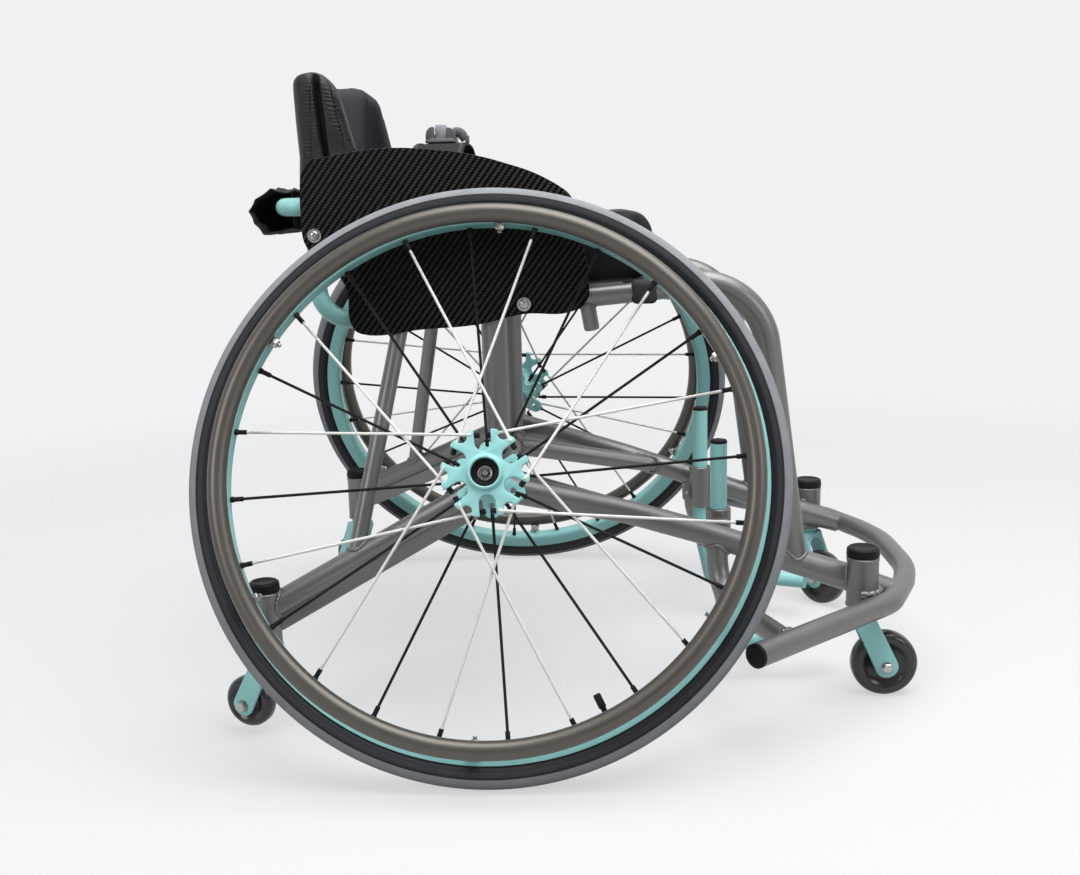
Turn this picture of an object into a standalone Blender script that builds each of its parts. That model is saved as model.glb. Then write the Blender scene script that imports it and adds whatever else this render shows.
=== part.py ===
"""Rigid court wheelchair with cambered wheels, welded tube frame, bumper hoop and anti-tip casters.

Metres, +Z up. +X is forward, +Y is the sitter's left. Every size here counts from the wheels' axle line, and
the chair empty sets the whole part back, so that the origin is on the floor at the middle of its footprint.
"""

from math import ceil, cos, pi, radians, sin, tan

import bmesh
import bpy
from mathutils import Matrix, Vector

# Clearances
FIT = 0.0003  # between pieces that seat on each other
RUN = 0.0006  # between a turning or sliding piece and its bore

# Main wheels
CAMBER = radians(20.0)
WHEEL_TRACK = 0.290  # hub centre to the middle of the chair
RAIL_Y = WHEEL_TRACK - 0.1343  # seat rail to the middle of the chair
TYRE_RADIUS = 0.3035
TYRE_SECTION = 0.0125
BEAD_RADIUS = TYRE_RADIUS - 0.0240
RIM_INNER = BEAD_RADIUS - 0.0170
RIM_WIDTH = 0.0200
RIM_WALL = 0.0016
RIM_FLANGE_TIP = BEAD_RADIUS + 0.0012
RING_STEPS = 40
HANDRIM_RADIUS = RIM_INNER + 0.0006
HANDRIM_TUBE = 0.0095
HANDRIM_OFFSET = 0.0402
HANDRIM_TAB_FIRST = radians(27.0)
HANDRIM_TAB_LENGTH = 0.014
HANDRIM_TAB_REACH = 0.0095  # outward of the rim's inner hoop
VALVE_ANGLE = radians(-64.0)
VALVE_RADIUS = 0.003
VALVE_LENGTH = 0.024

# Hub and spokes
HUB_BARREL = 0.0165
HUB_INNER_END = -0.034
HUB_OUTER_END = 0.0435
HUB_RECESS = 0.0135
HUB_RECESS_DEPTH = 0.0125
OUTER_FLANGE = (0.0340, 0.0400)
INNER_FLANGE = (-0.0240, -0.0190)
STAR_ARMS = 6
STAR_PHASE = radians(4.0)
STAR_TIP = 0.0435
STAR_TIP_HALF = radians(17.5)
STAR_TIP_INNER = radians(8.5)
STAR_FORK = 0.0365
STAR_FORK_HALF = radians(5.5)
STAR_NOTCH_BOTTOM = 0.0215
STAR_NOTCH_HALF = 0.0090
LACE_ANGLE = radians(45.0)
LACE_START = 0.0400
LACE_START_ANGLE = radians(14.0)
LACE_LIFT = 0.0021  # over and under the flange, so that laced spokes pass each other
SPOKE_RADIUS = 0.0015
NIPPLE_RADIUS = 0.0027
NIPPLE_LENGTH = 0.012
NIPPLE_GAP = 0.0008  # the slanted nipple's middle stands this far off the rim
SPOKE_COUNT = 12  # on each flange

# Quick-release axles
AXLE_RADIUS = 0.00635
AXLE_INNER_END = -0.118
AXLE_HEAD_RADIUS = 0.0080
AXLE_HEAD_THICK = 0.0040
BUTTON_RADIUS = 0.0035
BUTTON_LENGTH = 0.0130
BUTTON_PROUD = 0.0030
SOCKET_RADIUS = 0.0130
SOCKET_END = -0.0365
CROSSBAR_RADIUS = 0.0160
CROSSBAR_HALF = RAIL_Y - 0.0007

# Front casters
FRONT_SWIVEL = (0.404, RAIL_Y + 0.0113)
FRONT_CASTER_RADIUS = 0.037
FRONT_CASTER_WIDTH = 0.0230
FRONT_TRAIL = 0.026
FRONT_BARREL_RADIUS = 0.0175
FRONT_BARREL = (0.104, 0.161)
FRONT_CAP_HEIGHT = 0.011
FRONT_LEG_WIDTH = 0.026
FRONT_TURN = {"right": 0.0, "left": radians(-50.0)}  # each caster rests as it last rolled

# Rear anti-tip casters
REAR_SWIVEL = (-0.2415, RAIL_Y + 0.1113)
REAR_CASTER_RADIUS = 0.028
REAR_CASTER_WIDTH = 0.0200
REAR_TRAIL = 0.0265
REAR_BARREL_RADIUS = 0.0155
REAR_BARREL = (0.100, 0.162)
REAR_CAP_HEIGHT = 0.011
REAR_LEG_WIDTH = 0.0245
REAR_AXLE_HEIGHT = 0.037
REAR_TURN = {"right": radians(-20.0), "left": radians(-45.0)}

STEM_RADIUS = 0.0060
FORK_DROP = 0.0055  # barrel foot down to the fork crown
FORK_PLATE = 0.0040
FORK_SIDE_GAP = 0.0020
BOLT_RADIUS = 0.0040
BOLT_HEAD_RADIUS = 0.0065
BOLT_HEAD_THICK = 0.0035
CAP_ROUND = 0.0025

# Frame tubes
SEAT_RAIL_RADIUS = 0.011
DOWN_TUBE_RADIUS = 0.014
RAIL_REAR_END = (-0.130, 0.434)
RAIL_FRONT = (0.185, 0.4605)
POST_RADIUS = 0.014
POST_Y = RAIL_Y - 0.0057
STRUT_RADIUS = 0.009
REAR_MEMBER_RADIUS = 0.0125
REAR_FIN_DEPTH = 0.029
REAR_FIN_THICK = 0.006
INNER_TUBE_RADIUS = 0.0125
BUMPER_RADIUS = 0.0125
BUMPER_HEIGHT = 0.114
BUMPER_FRONT = 0.480
BUMPER_CAP_THICK = 0.004
WING_STRUT_RADIUS = 0.012

# Seat, guards and back
GUARD_THICK = 0.002
GUARD_INNER = RAIL_Y + SEAT_RAIL_RADIUS + FIT
GUARD_OUTLINE = [
    (-0.199, 0.571), (-0.175, 0.605), (-0.136, 0.6125), (-0.103, 0.6155), (-0.066, 0.6135),
    (-0.022, 0.6075), (0.0135, 0.5985), (0.063, 0.579), (0.0835, 0.563), (0.099, 0.5105),
    (0.104, 0.4755), (0.102, 0.451), (0.0895, 0.441), (0.0325, 0.438), (-0.015, 0.428),
    (-0.0735, 0.424), (-0.142, 0.420), (-0.151, 0.426), (-0.158, 0.4735), (-0.198, 0.5165),
]  # fmt: skip
SEAT_FRONT = 0.178
SEAT_REAR = -0.165
SEAT_THICK = 0.074
SEAT_CROWN = 0.012
SEAT_BOLSTER = 0.012  # rise of the front edge
SEAT_LAYERS = ((0.0, 0.007), (0.25, 0.0), (0.72, 0.0), (1.0, 0.009))  # share of the height, inset
BACK_TUBE_RADIUS = 0.00975
BACK_BAR_HEIGHT = 0.557
BACK_BAR_X = -0.225
CANE_X = -0.190
CANE_TOP = 0.672
BACK_BOTTOM = 0.530
BACK_TOP = 0.7025
BACK_SAG = 0.012
BACK_LEAN = 0.0035  # the left wing stands this much higher, the right one lower
BACK_THICK = 0.024
BACK_CORNER = 0.030
BACK_WING_FRONT = (-0.1368, 0.6125)
BACK_WING_SLANT = -0.235
POUCH_HALF = RAIL_Y - 0.0197
POUCH_WALL = 0.003

# Footrest
FOOT_Y = RAIL_Y - 0.0447
FOOT_X = 0.250
FOOT_TUBE = 0.00975
FOOT_TOP = 0.281
FOOT_CAP = 0.004
FOOT_RUN_HEIGHT = 0.052
FOOT_CROSS_X = 0.300
COLLAR = (0.151, 0.205)
COLLAR_RADIUS = 0.0142
COLLAR_LUG_END = RAIL_Y - 0.0157  # the side tube's inboard wall

# Lap belt and buckle
BELT_X = (-0.093, -0.033)
BELT_THICK = 0.003
BELT_TOP = 0.626
BELT_ANCHOR = 0.520
BUCKLE_X = (-0.082, -0.048)
BUCKLE_LENGTH = 0.070
BUCKLE_BASE = 0.0035
LEVER_THICK = 0.0065
LEVER_LENGTH = 0.034

HUB_HEIGHT = (TYRE_RADIUS - TYRE_SECTION) * cos(CAMBER) + TYRE_SECTION
SIDES = (("right", -1), ("left", 1))

MINT = (0.22, 0.53, 0.49, 1.0)
GREY = (0.16, 0.16, 0.16, 1.0)
BLACK = (0.012, 0.012, 0.014, 1.0)
FINISHES = {
    "mint_paint": (MINT, 0.4, 0.0),
    "satin_grey": (GREY, 0.45, 0.7),
    "bronze_grip": ((0.14, 0.12, 0.10, 1.0), 0.5, 0.6),
    "tyre_rubber": ((0.03, 0.03, 0.035, 1.0), 0.8, 0.0),
    "black_plastic": (BLACK, 0.5, 0.0),
    "black_leather": (BLACK, 0.6, 0.0),
    "carbon_twill": (BLACK, 0.3, 0.0),
    "steel": ((0.55, 0.55, 0.55, 1.0), 0.3, 1.0),
    "webbing": (BLACK, 0.85, 0.0),
}


def clear_scene():
    for item in list(bpy.data.objects):
        bpy.data.objects.remove(item, do_unlink=True)


def finish(name):
    """The finish's own material, made once."""
    found = bpy.data.materials.get(name)
    if found:
        return found
    colour, roughness, metallic = FINISHES[name]
    made = bpy.data.materials.new(name)
    made.use_nodes = True
    shader = made.node_tree.nodes["Principled BSDF"]
    shader.inputs["Base Color"].default_value = colour
    shader.inputs["Roughness"].default_value = roughness
    shader.inputs["Metallic"].default_value = metallic
    return made


def chair_empty():
    """The empty that carries the whole chair, with the axle line behind the middle of the footprint."""
    found = bpy.data.objects.get("chair")
    if found:
        return found
    made = bpy.data.objects.new("chair", None)
    made.location.x = -(BUMPER_FRONT + BUMPER_RADIUS - TYRE_RADIUS) / 2
    bpy.context.scene.collection.objects.link(made)
    return made


def add(name, shape, finish_name, parent=None):
    """Link a finished bmesh as the named piece, shaded smooth with its corners kept sharp."""
    mesh = bpy.data.meshes.new(name)
    bmesh.ops.remove_doubles(shape, verts=shape.verts, dist=1e-6)
    bmesh.ops.recalc_face_normals(shape, faces=shape.faces)
    shape.to_mesh(mesh)
    shape.free()
    mesh.shade_smooth()
    mesh.set_sharp_from_angle(angle=radians(35.0))
    mesh.materials.append(finish(finish_name))
    piece = bpy.data.objects.new(name, mesh)
    bpy.context.scene.collection.objects.link(piece)
    piece.parent = parent or chair_empty()
    return piece


def axis_empty(name, matrix):
    """An empty on a joint's axis, which carries the pieces that turn about its local Z."""
    empty = bpy.data.objects.new(name, None)
    bpy.context.scene.collection.objects.link(empty)
    empty.parent = chair_empty()
    empty.matrix_local = matrix
    return empty


def combine(target, tool, operation):
    """One exact boolean on two bmeshes. Both are used up, and the result is returned."""
    pieces = []
    for label, shape in (("target", target), ("tool", tool)):
        bmesh.ops.remove_doubles(shape, verts=shape.verts, dist=1e-6)
        bmesh.ops.recalc_face_normals(shape, faces=shape.faces)
        mesh = bpy.data.meshes.new(label)
        shape.to_mesh(mesh)
        shape.free()
        piece = bpy.data.objects.new(label, mesh)
        bpy.context.scene.collection.objects.link(piece)
        pieces.append(piece)
    modifier = pieces[0].modifiers.new(operation, "BOOLEAN")
    modifier.operation = operation
    modifier.solver = "EXACT"
    modifier.object = pieces[1]
    bpy.context.view_layer.update()
    result = bmesh.new()
    result.from_object(pieces[0], bpy.context.evaluated_depsgraph_get())
    for piece in pieces:
        mesh = piece.data
        bpy.data.objects.remove(piece)
        bpy.data.meshes.remove(mesh)
    return result


def fuse(target, *tools):
    for tool in tools:
        target = combine(target, tool, "UNION")
    return target


def cut(target, *tools):
    for tool in tools:
        target = combine(target, tool, "DIFFERENCE")
    return target


def moved(shape, matrix):
    bmesh.ops.transform(shape, matrix=matrix, verts=shape.verts)
    return shape


def turned(profile, steps, phase=0.0, closed=True):
    """Revolve (radius, height) points about Z. An open profile starts and ends on the axis."""
    shape = bmesh.new()
    verts = [shape.verts.new((radius * cos(phase), radius * sin(phase), height)) for radius, height in profile]
    edges = [shape.edges.new(pair) for pair in zip(verts, verts[1:])]
    if closed:
        edges.append(shape.edges.new((verts[-1], verts[0])))
    bmesh.ops.spin(
        shape, geom=verts + edges, cent=(0, 0, 0), axis=(0, 0, 1), angle=2 * pi, steps=steps, use_merge=True
    )
    bmesh.ops.remove_doubles(shape, verts=shape.verts, dist=1e-6)
    bmesh.ops.recalc_face_normals(shape, faces=shape.faces)
    return shape


def rod(radius, start, end, sides=16):
    """A solid round bar along Z from start to end."""
    return turned([(0, start), (radius, start), (radius, end), (0, end)], sides, closed=False)


def plate(outline, start, end):
    """A flat outline of (x, y) points, extruded along Z from start to end."""
    shape = bmesh.new()
    face = shape.faces.new([shape.verts.new((x, y, start)) for x, y in outline])
    raised = bmesh.ops.extrude_face_region(shape, geom=[face])["geom"]
    lifted = [item for item in raised if isinstance(item, bmesh.types.BMVert)]
    bmesh.ops.translate(shape, vec=(0, 0, end - start), verts=lifted)
    bmesh.ops.recalc_face_normals(shape, faces=shape.faces)
    return shape


def block(low, high):
    """A box between two corners."""
    outline = [(low[0], low[1]), (high[0], low[1]), (high[0], high[1]), (low[0], high[1])]
    return plate(outline, low[2], high[2])


def to_side_view(shape, centre_y=0.0):
    """Turn a plate drawn in (x, z) and extruded along its own Z so that it stands upright along Y."""
    return moved(shape, Matrix.Translation((0, centre_y, 0)) @ Matrix.Rotation(pi / 2, 4, "X"))


def bent_path(corners, arc_step=radians(20.0)):
    """Straight legs joined by arcs. A corner is (x, y, z, tube radius, bend radius)."""
    points = [Vector(corner[:3]) for corner in corners]
    path = [(points[0], corners[0][3])]
    for before, here, after, corner in zip(points, points[1:], points[2:], corners[1:]):
        back, ahead = (before - here).normalized(), (after - here).normalized()
        turn = pi - back.angle(ahead)
        if corner[4] <= 0.0 or turn < radians(1.0):
            path.append((here, corner[3]))
            continue
        reach = corner[4] * tan(turn / 2)
        centre = here + (back + ahead).normalized() * corner[4] / cos(turn / 2)
        first, last = here + back * reach - centre, here + ahead * reach - centre
        count = max(2, ceil(turn / arc_step))
        for step in range(count + 1):
            share = step / count
            spoke = (first * sin((1 - share) * turn) + last * sin(share * turn)) / sin(turn)
            path.append((centre + spoke, corner[3]))
    path.append((points[-1], corners[-1][3]))
    return path


def tube(path, sides=10, grow=0.0):
    """A round bar along the path, from a bevelled curve with filled caps. grow makes a coping tool of it."""
    places = [place.copy() for place, _ in path]
    places[0] += (places[0] - places[1]).normalized() * grow
    places[-1] += (places[-1] - places[-2]).normalized() * grow
    curve = bpy.data.curves.new("tube", "CURVE")
    curve.dimensions = "3D"
    curve.bevel_depth = 1.0
    curve.bevel_resolution = sides // 2 - 2
    curve.use_fill_caps = True
    spline = curve.splines.new("POLY")
    spline.points.add(len(places) - 1)
    for point, place, (_, radius) in zip(spline.points, places, path):
        point.co = (*place, 1.0)
        point.radius = radius + grow
    holder = bpy.data.objects.new("tube", curve)
    bpy.context.scene.collection.objects.link(holder)
    bpy.context.view_layer.update()
    shape = bmesh.new()
    mesh = bpy.data.meshes.new_from_object(holder.evaluated_get(bpy.context.evaluated_depsgraph_get()))
    shape.from_mesh(mesh)
    bpy.data.meshes.remove(mesh)
    bpy.data.objects.remove(holder)
    bpy.data.curves.remove(curve)
    bmesh.ops.remove_doubles(shape, verts=shape.verts, dist=1e-6)
    bmesh.ops.recalc_face_normals(shape, faces=shape.faces)
    return shape


def on_side(corners, side):
    return [(x, side * y, z, radius, bend) for x, y, z, radius, bend in corners]


def wheel_frame(side):
    """Local Z is the wheel's axle, pointing outward, and local Y is up the cambered wheel."""
    turn = Matrix.Rotation(0.0 if side < 0 else pi, 4, "Z") @ Matrix.Rotation(pi / 2 - CAMBER, 4, "X")
    return Matrix.Translation((0.0, side * WHEEL_TRACK, HUB_HEIGHT)) @ turn


def axle_point(along, side=1):
    """A point on the cambered axle, given its distance outward from the wheel's middle plane."""
    return Vector((0.0, side * (WHEEL_TRACK + along * cos(CAMBER)), HUB_HEIGHT + along * sin(CAMBER)))


# Main wheels


def tyre_shape():
    """Round tread and sidewalls over a bead that sits between the rim's flanges."""
    middle = TYRE_RADIUS - TYRE_SECTION
    arc = [radians(angle) for angle in (-125, -92, -56, -20, 0, 20, 56, 92, 125)]
    profile = [(middle + TYRE_SECTION * cos(angle), TYRE_SECTION * sin(angle)) for angle in arc]
    bead_half = RIM_WIDTH / 2 - RIM_WALL - FIT
    shoulder = RIM_FLANGE_TIP + FIT
    profile = [point for point in profile if point[0] > shoulder]
    profile += [(shoulder, bead_half), (BEAD_RADIUS + FIT, bead_half)]
    profile += [(BEAD_RADIUS + FIT, -bead_half), (shoulder, -bead_half)]
    return turned(profile, RING_STEPS, phase=pi / 2)


def rim_shape():
    """Hollow-section rim: inner hoop, side walls and the two flanges that hold the tyre's bead."""
    half = RIM_WIDTH / 2
    well = half - RIM_WALL
    wall_foot = RIM_INNER + 0.005
    hoop_half = half - 0.004
    profile = [(RIM_INNER, -hoop_half), (wall_foot, -half), (RIM_FLANGE_TIP, -half), (RIM_FLANGE_TIP, -well)]
    profile += [(BEAD_RADIUS, -well), (BEAD_RADIUS, well)]
    profile += [(RIM_FLANGE_TIP, well), (RIM_FLANGE_TIP, half), (wall_foot, half), (RIM_INNER, hoop_half)]
    return turned(profile, RING_STEPS, phase=pi / 2)


def handrim_shape():
    """Push ring with six short tabs that bear on the rim's outer side."""
    ring = [
        (HANDRIM_RADIUS + HANDRIM_TUBE * cos(angle), HANDRIM_OFFSET + HANDRIM_TUBE * sin(angle))
        for angle in (k * pi / 4 for k in range(8))
    ]
    shape = turned(ring, RING_STEPS, phase=pi / 2)
    foot = RIM_WIDTH / 2 + FIT
    for k in range(6):
        low, high = sorted((HANDRIM_RADIUS + 0.004, RIM_INNER + HANDRIM_TAB_REACH))
        tab = block((low, -HANDRIM_TAB_LENGTH / 2, foot), (high, HANDRIM_TAB_LENGTH / 2, HANDRIM_OFFSET))
        shape = fuse(shape, moved(tab, Matrix.Rotation(HANDRIM_TAB_FIRST + k * pi / 3, 4, "Z")))
    return shape


def star_outline(phase):
    """Six forked arms. Between two arms is a deep round-bottomed notch, and each arm's end is forked."""
    points = []
    notch_centre = STAR_NOTCH_BOTTOM + STAR_NOTCH_HALF
    for arm in range(STAR_ARMS):
        axis = phase + arm * 2 * pi / STAR_ARMS
        for angle, radius in (
            (-STAR_TIP_HALF, STAR_TIP),
            (-STAR_TIP_INNER, STAR_TIP),
            (-STAR_FORK_HALF, STAR_FORK),
            (STAR_FORK_HALF, STAR_FORK),
            (STAR_TIP_INNER, STAR_TIP),
            (STAR_TIP_HALF, STAR_TIP),
        ):
            points.append((radius * cos(axis + angle), radius * sin(axis + angle)))
        middle = axis + pi / STAR_ARMS
        for step in range(5):
            swing = -pi / 2 - step * pi / 4
            along = notch_centre + STAR_NOTCH_HALF * cos(swing)
            across = STAR_NOTCH_HALF * sin(swing)
            points.append((along * cos(middle) - across * sin(middle), along * sin(middle) + across * cos(middle)))
    return points


def between(shape, start, end):
    """Carry a shape that stands on Z so that it runs from start towards end."""
    turn = Vector((0, 0, 1)).rotation_difference(end - start).to_matrix().to_4x4()
    return moved(shape, Matrix.Translation(start) @ turn)


def spoke_bar(start, end):
    """A spoke with its nipple on the end."""
    length = (end - start).length
    nipple_foot = length - NIPPLE_LENGTH
    profile = [(0, 0), (SPOKE_RADIUS, 0), (SPOKE_RADIUS, nipple_foot), (NIPPLE_RADIUS, nipple_foot)]
    profile += [(NIPPLE_RADIUS, length), (0, length)]
    return between(turned(profile, 5, closed=False), start, end)


def spokes_shape():
    """Twelve laced outer spokes and twelve radial inner ones, each ending in its nipple at the rim."""
    shape = bmesh.new()
    reach = RIM_INNER * cos(pi / RING_STEPS) - NIPPLE_GAP
    inner_start = HUB_BARREL + 0.001
    outer_mid = sum(OUTER_FLANGE) / 2
    inner_mid = sum(INNER_FLANGE) / 2
    for k in range(SPOKE_COUNT):
        arm = STAR_PHASE + (k // 2) * 2 * pi / STAR_ARMS
        lean = 1 if k % 2 else -1
        begin_angle, end_angle = arm - lean * LACE_START_ANGLE, arm + lean * LACE_ANGLE
        lift = lean * LACE_LIFT
        begin = Vector((LACE_START * cos(begin_angle), LACE_START * sin(begin_angle), outer_mid + lift))
        end = Vector((reach * cos(end_angle), reach * sin(end_angle), 0.003))
        radial_angle = STAR_PHASE + k * 2 * pi / SPOKE_COUNT
        inner_begin = Vector((inner_start * cos(radial_angle), inner_start * sin(radial_angle), inner_mid))
        inner_end = Vector((reach * cos(radial_angle), reach * sin(radial_angle), -0.003))
        for first, last in ((begin, end), (inner_begin, inner_end)):
            bar = spoke_bar(first, last)
            mesh = bpy.data.meshes.new("bar")
            bar.to_mesh(mesh)
            bar.free()
            shape.from_mesh(mesh)
            bpy.data.meshes.remove(mesh)
    return shape


def hub_shape():
    """Hub barrel with its recess for the axle head, two star flanges and all the spokes."""
    bore = AXLE_RADIUS + RUN
    recess_floor = HUB_OUTER_END - HUB_RECESS_DEPTH
    barrel = turned(
        [
            (bore, HUB_INNER_END),
            (HUB_BARREL, HUB_INNER_END),
            (HUB_BARREL, HUB_OUTER_END),
            (HUB_RECESS, HUB_OUTER_END),
            (HUB_RECESS, recess_floor),
            (bore, recess_floor),
        ],
        18,
    )
    outer = plate(star_outline(STAR_PHASE), *OUTER_FLANGE)
    inner = plate(star_outline(STAR_PHASE + pi / STAR_ARMS), *INNER_FLANGE)
    opening = rod(HUB_RECESS - 0.0005, OUTER_FLANGE[0] - 0.001, OUTER_FLANGE[1] + 0.001, 18)
    inner_opening = rod(bore + 0.001, INNER_FLANGE[0] - 0.001, INNER_FLANGE[1] + 0.001, 18)
    shape = fuse(barrel, cut(outer, opening), cut(inner, inner_opening))
    return fuse(shape, spokes_shape())


def valve_shape():
    seat = RIM_INNER * cos(pi / RING_STEPS) - FIT
    stem = rod(VALVE_RADIUS, seat - VALVE_LENGTH, seat, 10)
    return moved(stem, Matrix.Rotation(VALVE_ANGLE, 4, "Z") @ Matrix.Rotation(pi / 2, 4, "Y"))


def axle_shape():
    """Quick-release axle: the pin in the camber socket, and a head with the button's bore."""
    head_foot = HUB_OUTER_END - HUB_RECESS_DEPTH + FIT
    head_top = head_foot + AXLE_HEAD_THICK
    pin = [
        (0, AXLE_INNER_END),
        (AXLE_RADIUS, AXLE_INNER_END),
        (AXLE_RADIUS, head_foot),
        (AXLE_HEAD_RADIUS, head_foot),
        (AXLE_HEAD_RADIUS, head_top),
        (BUTTON_RADIUS + RUN, head_top),
        (BUTTON_RADIUS + RUN, head_top - BUTTON_LENGTH),
        (0, head_top - BUTTON_LENGTH),
    ]
    return turned(pin, 14, closed=False)


def button_shape():
    head_top = HUB_OUTER_END - HUB_RECESS_DEPTH + FIT + AXLE_HEAD_THICK
    foot = head_top + BUTTON_PROUD - BUTTON_LENGTH + FIT
    top = head_top + BUTTON_PROUD
    chamfer = 0.0008
    profile = [(0, foot), (BUTTON_RADIUS, foot), (BUTTON_RADIUS, top - chamfer)]
    profile += [(BUTTON_RADIUS - chamfer, top), (0, top)]
    return turned(profile, 12, closed=False)


def build_wheels():
    for name, side in SIDES:
        axis = axis_empty(f"{name}_wheel_axis", wheel_frame(side))
        add(f"{name}_tyre", tyre_shape(), "tyre_rubber", axis)
        add(f"{name}_rim", rim_shape(), "mint_paint", axis)
        add(f"{name}_handrim", handrim_shape(), "bronze_grip", axis)
        add(f"{name}_hub", hub_shape(), "mint_paint", axis)
        add(f"{name}_valve", valve_shape(), "black_plastic", axis)
        add(f"{name}_axle", axle_shape(), "steel", axis)
        add(f"{name}_release_button", button_shape(), "steel", axis)


# Casters


def fork_shape(trail, drop, leg_width, wheel_width, stem_length):
    """Arched fork about the swivel axis, crown top at z 0. Its wheel axle is trail forward and drop down."""
    inner_half = wheel_width / 2 + FORK_SIDE_GAP
    outer_half = inner_half + FORK_PLATE
    round_half = leg_width / 2
    lean = Vector((trail, -drop)).normalized()
    across = Vector((-lean.y, lean.x))
    outline = [(-round_half, -0.004), (-round_half + 0.002, 0.0), (round_half - 0.002, 0.0), (round_half, -0.004)]
    outline.reverse()
    for step in range(9):
        swing = pi + step * pi / 8
        place = Vector((trail, -drop)) + across * round_half * cos(swing) - lean * round_half * sin(swing)
        outline.append((place.x, place.y))
    body = to_side_view(plate(outline, -outer_half, outer_half))
    arch_top = -0.0085
    arch = []
    for step in range(7):
        swing = step * pi / 6
        arch.append((inner_half * cos(swing), arch_top - inner_half + inner_half * sin(swing)))
    arch += [(-inner_half, -drop - leg_width), (inner_half, -drop - leg_width)]
    channel = plate(arch, -0.1, 0.1)
    channel = moved(channel, Matrix.Rotation(pi / 2, 4, "Z") @ Matrix.Rotation(pi / 2, 4, "X"))
    hole = to_side_view(rod(BOLT_RADIUS + FIT, -0.1, 0.1, 12))
    hole = moved(hole, Matrix.Translation((trail, 0, -drop)))
    stem = rod(STEM_RADIUS, -0.004, stem_length)
    return fuse(cut(body, channel, hole), stem)


def caster_wheel_shape(radius, width):
    """Solid tread with rounded shoulders over a recessed hub."""
    half = width / 2
    bore = BOLT_RADIUS + RUN
    hub = 0.010
    web = half - 0.004
    lip = radius * 0.62
    profile = [(bore, -half), (hub, -half), (hub, -web), (lip, -web), (lip + 0.002, -half)]
    profile += [(radius - 0.005, -half), (radius, -half * 0.5)]
    profile += [(place, -height) for place, height in reversed(profile)]
    return turned(profile, 16, phase=pi / 2)


def bolt_shape(wheel_width):
    """Cross bolt with a head on one end and a nut on the other."""
    seat = wheel_width / 2 + FORK_SIDE_GAP + FORK_PLATE + FIT
    end = seat + BOLT_HEAD_THICK
    profile = [(0, -end), (BOLT_HEAD_RADIUS, -end), (BOLT_HEAD_RADIUS, -seat), (BOLT_RADIUS, -seat)]
    profile += [(BOLT_RADIUS, seat), (BOLT_HEAD_RADIUS, seat), (BOLT_HEAD_RADIUS, end), (0, end)]
    return turned(profile, 12, closed=False)


def cap_shape(radius, height):
    profile = [(0, 0), (radius, 0), (radius, height - CAP_ROUND), (radius - CAP_ROUND, height), (0, height)]
    return turned(profile, 16, closed=False)


def build_caster(name, swivel, turn, barrel, barrel_radius, cap_height, trail, axle_height, wheel, leg_width):
    """One swivel caster. trail is positive when the wheel lies forward of its swivel at no turn."""
    radius, width = wheel
    crown = barrel[0] - FORK_DROP
    facing = Matrix.Rotation(turn, 4, "Z")
    swivel_axis = axis_empty(f"{name}_swivel_axis", Matrix.Translation((*swivel, crown)) @ facing)
    drop = crown - axle_height
    stem_length = barrel[1] - crown - 0.004
    fork = fork_shape(abs(trail), drop, leg_width, width, stem_length)
    if trail < 0:
        fork = moved(fork, Matrix.Rotation(pi, 4, "Z"))
    add(f"{name}_fork", fork, "mint_paint", swivel_axis)
    on_axle = Matrix.Translation((*swivel, 0)) @ facing @ Matrix.Translation((trail, 0, axle_height))
    on_axle = on_axle @ Matrix.Rotation(pi / 2, 4, "X")
    axle_axis = axis_empty(f"{name}_axle_axis", on_axle)
    add(f"{name}_wheel", caster_wheel_shape(radius, width), "black_plastic", axle_axis)
    add(f"{name}_bolt", bolt_shape(width), "steel", axle_axis)
    cap = moved(cap_shape(barrel_radius, cap_height), Matrix.Translation((*swivel, barrel[1] + FIT)))
    add(f"{name}_cap", cap, "black_plastic")


def build_casters():
    for name, side in SIDES:
        build_caster(
            f"front_{name}_caster",
            (FRONT_SWIVEL[0], side * FRONT_SWIVEL[1]),
            FRONT_TURN[name],
            FRONT_BARREL,
            FRONT_BARREL_RADIUS,
            FRONT_CAP_HEIGHT,
            FRONT_TRAIL,
            FRONT_CASTER_RADIUS,
            (FRONT_CASTER_RADIUS, FRONT_CASTER_WIDTH),
            FRONT_LEG_WIDTH,
        )
        build_caster(
            f"rear_{name}_caster",
            (REAR_SWIVEL[0], side * REAR_SWIVEL[1]),
            REAR_TURN[name],
            REAR_BARREL,
            REAR_BARREL_RADIUS,
            REAR_CAP_HEIGHT,
            -REAR_TRAIL,
            REAR_AXLE_HEIGHT,
            (REAR_CASTER_RADIUS, REAR_CASTER_WIDTH),
            REAR_LEG_WIDTH,
        )


# Frame paths, given for the left side


def side_tube_path():
    socket = axle_point(AXLE_INNER_END + 0.006)
    return [
        (socket.x + 0.004, socket.y, socket.z + 0.004, 0.0165, 0),
        (0.145, RAIL_Y + 0.0093, 0.215, 0.0132, 0.25),
        (0.220, RAIL_Y - 0.0017, 0.190, 0.0135, 0.20),
        (0.3875, RAIL_Y - 0.0077, 0.1325, 0.0155, 0.15),
        (0.4430, RAIL_Y - 0.0037, BUMPER_HEIGHT, 0.0140, 0),
    ]


def inner_tube_path():
    return [
        (0.004, RAIL_Y - 0.0607, crossbar_height() + 0.004, INNER_TUBE_RADIUS, 0),
        (RAIL_FRONT[0], RAIL_Y - 0.0037, 0.200, INNER_TUBE_RADIUS - 0.0015, 0),
    ]


def socket_foot():
    """How far along the axle the camber socket meets the crossbar's end."""
    return (CROSSBAR_HALF - WHEEL_TRACK) / cos(CAMBER)


def crossbar_height():
    return axle_point(socket_foot()).z


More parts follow.
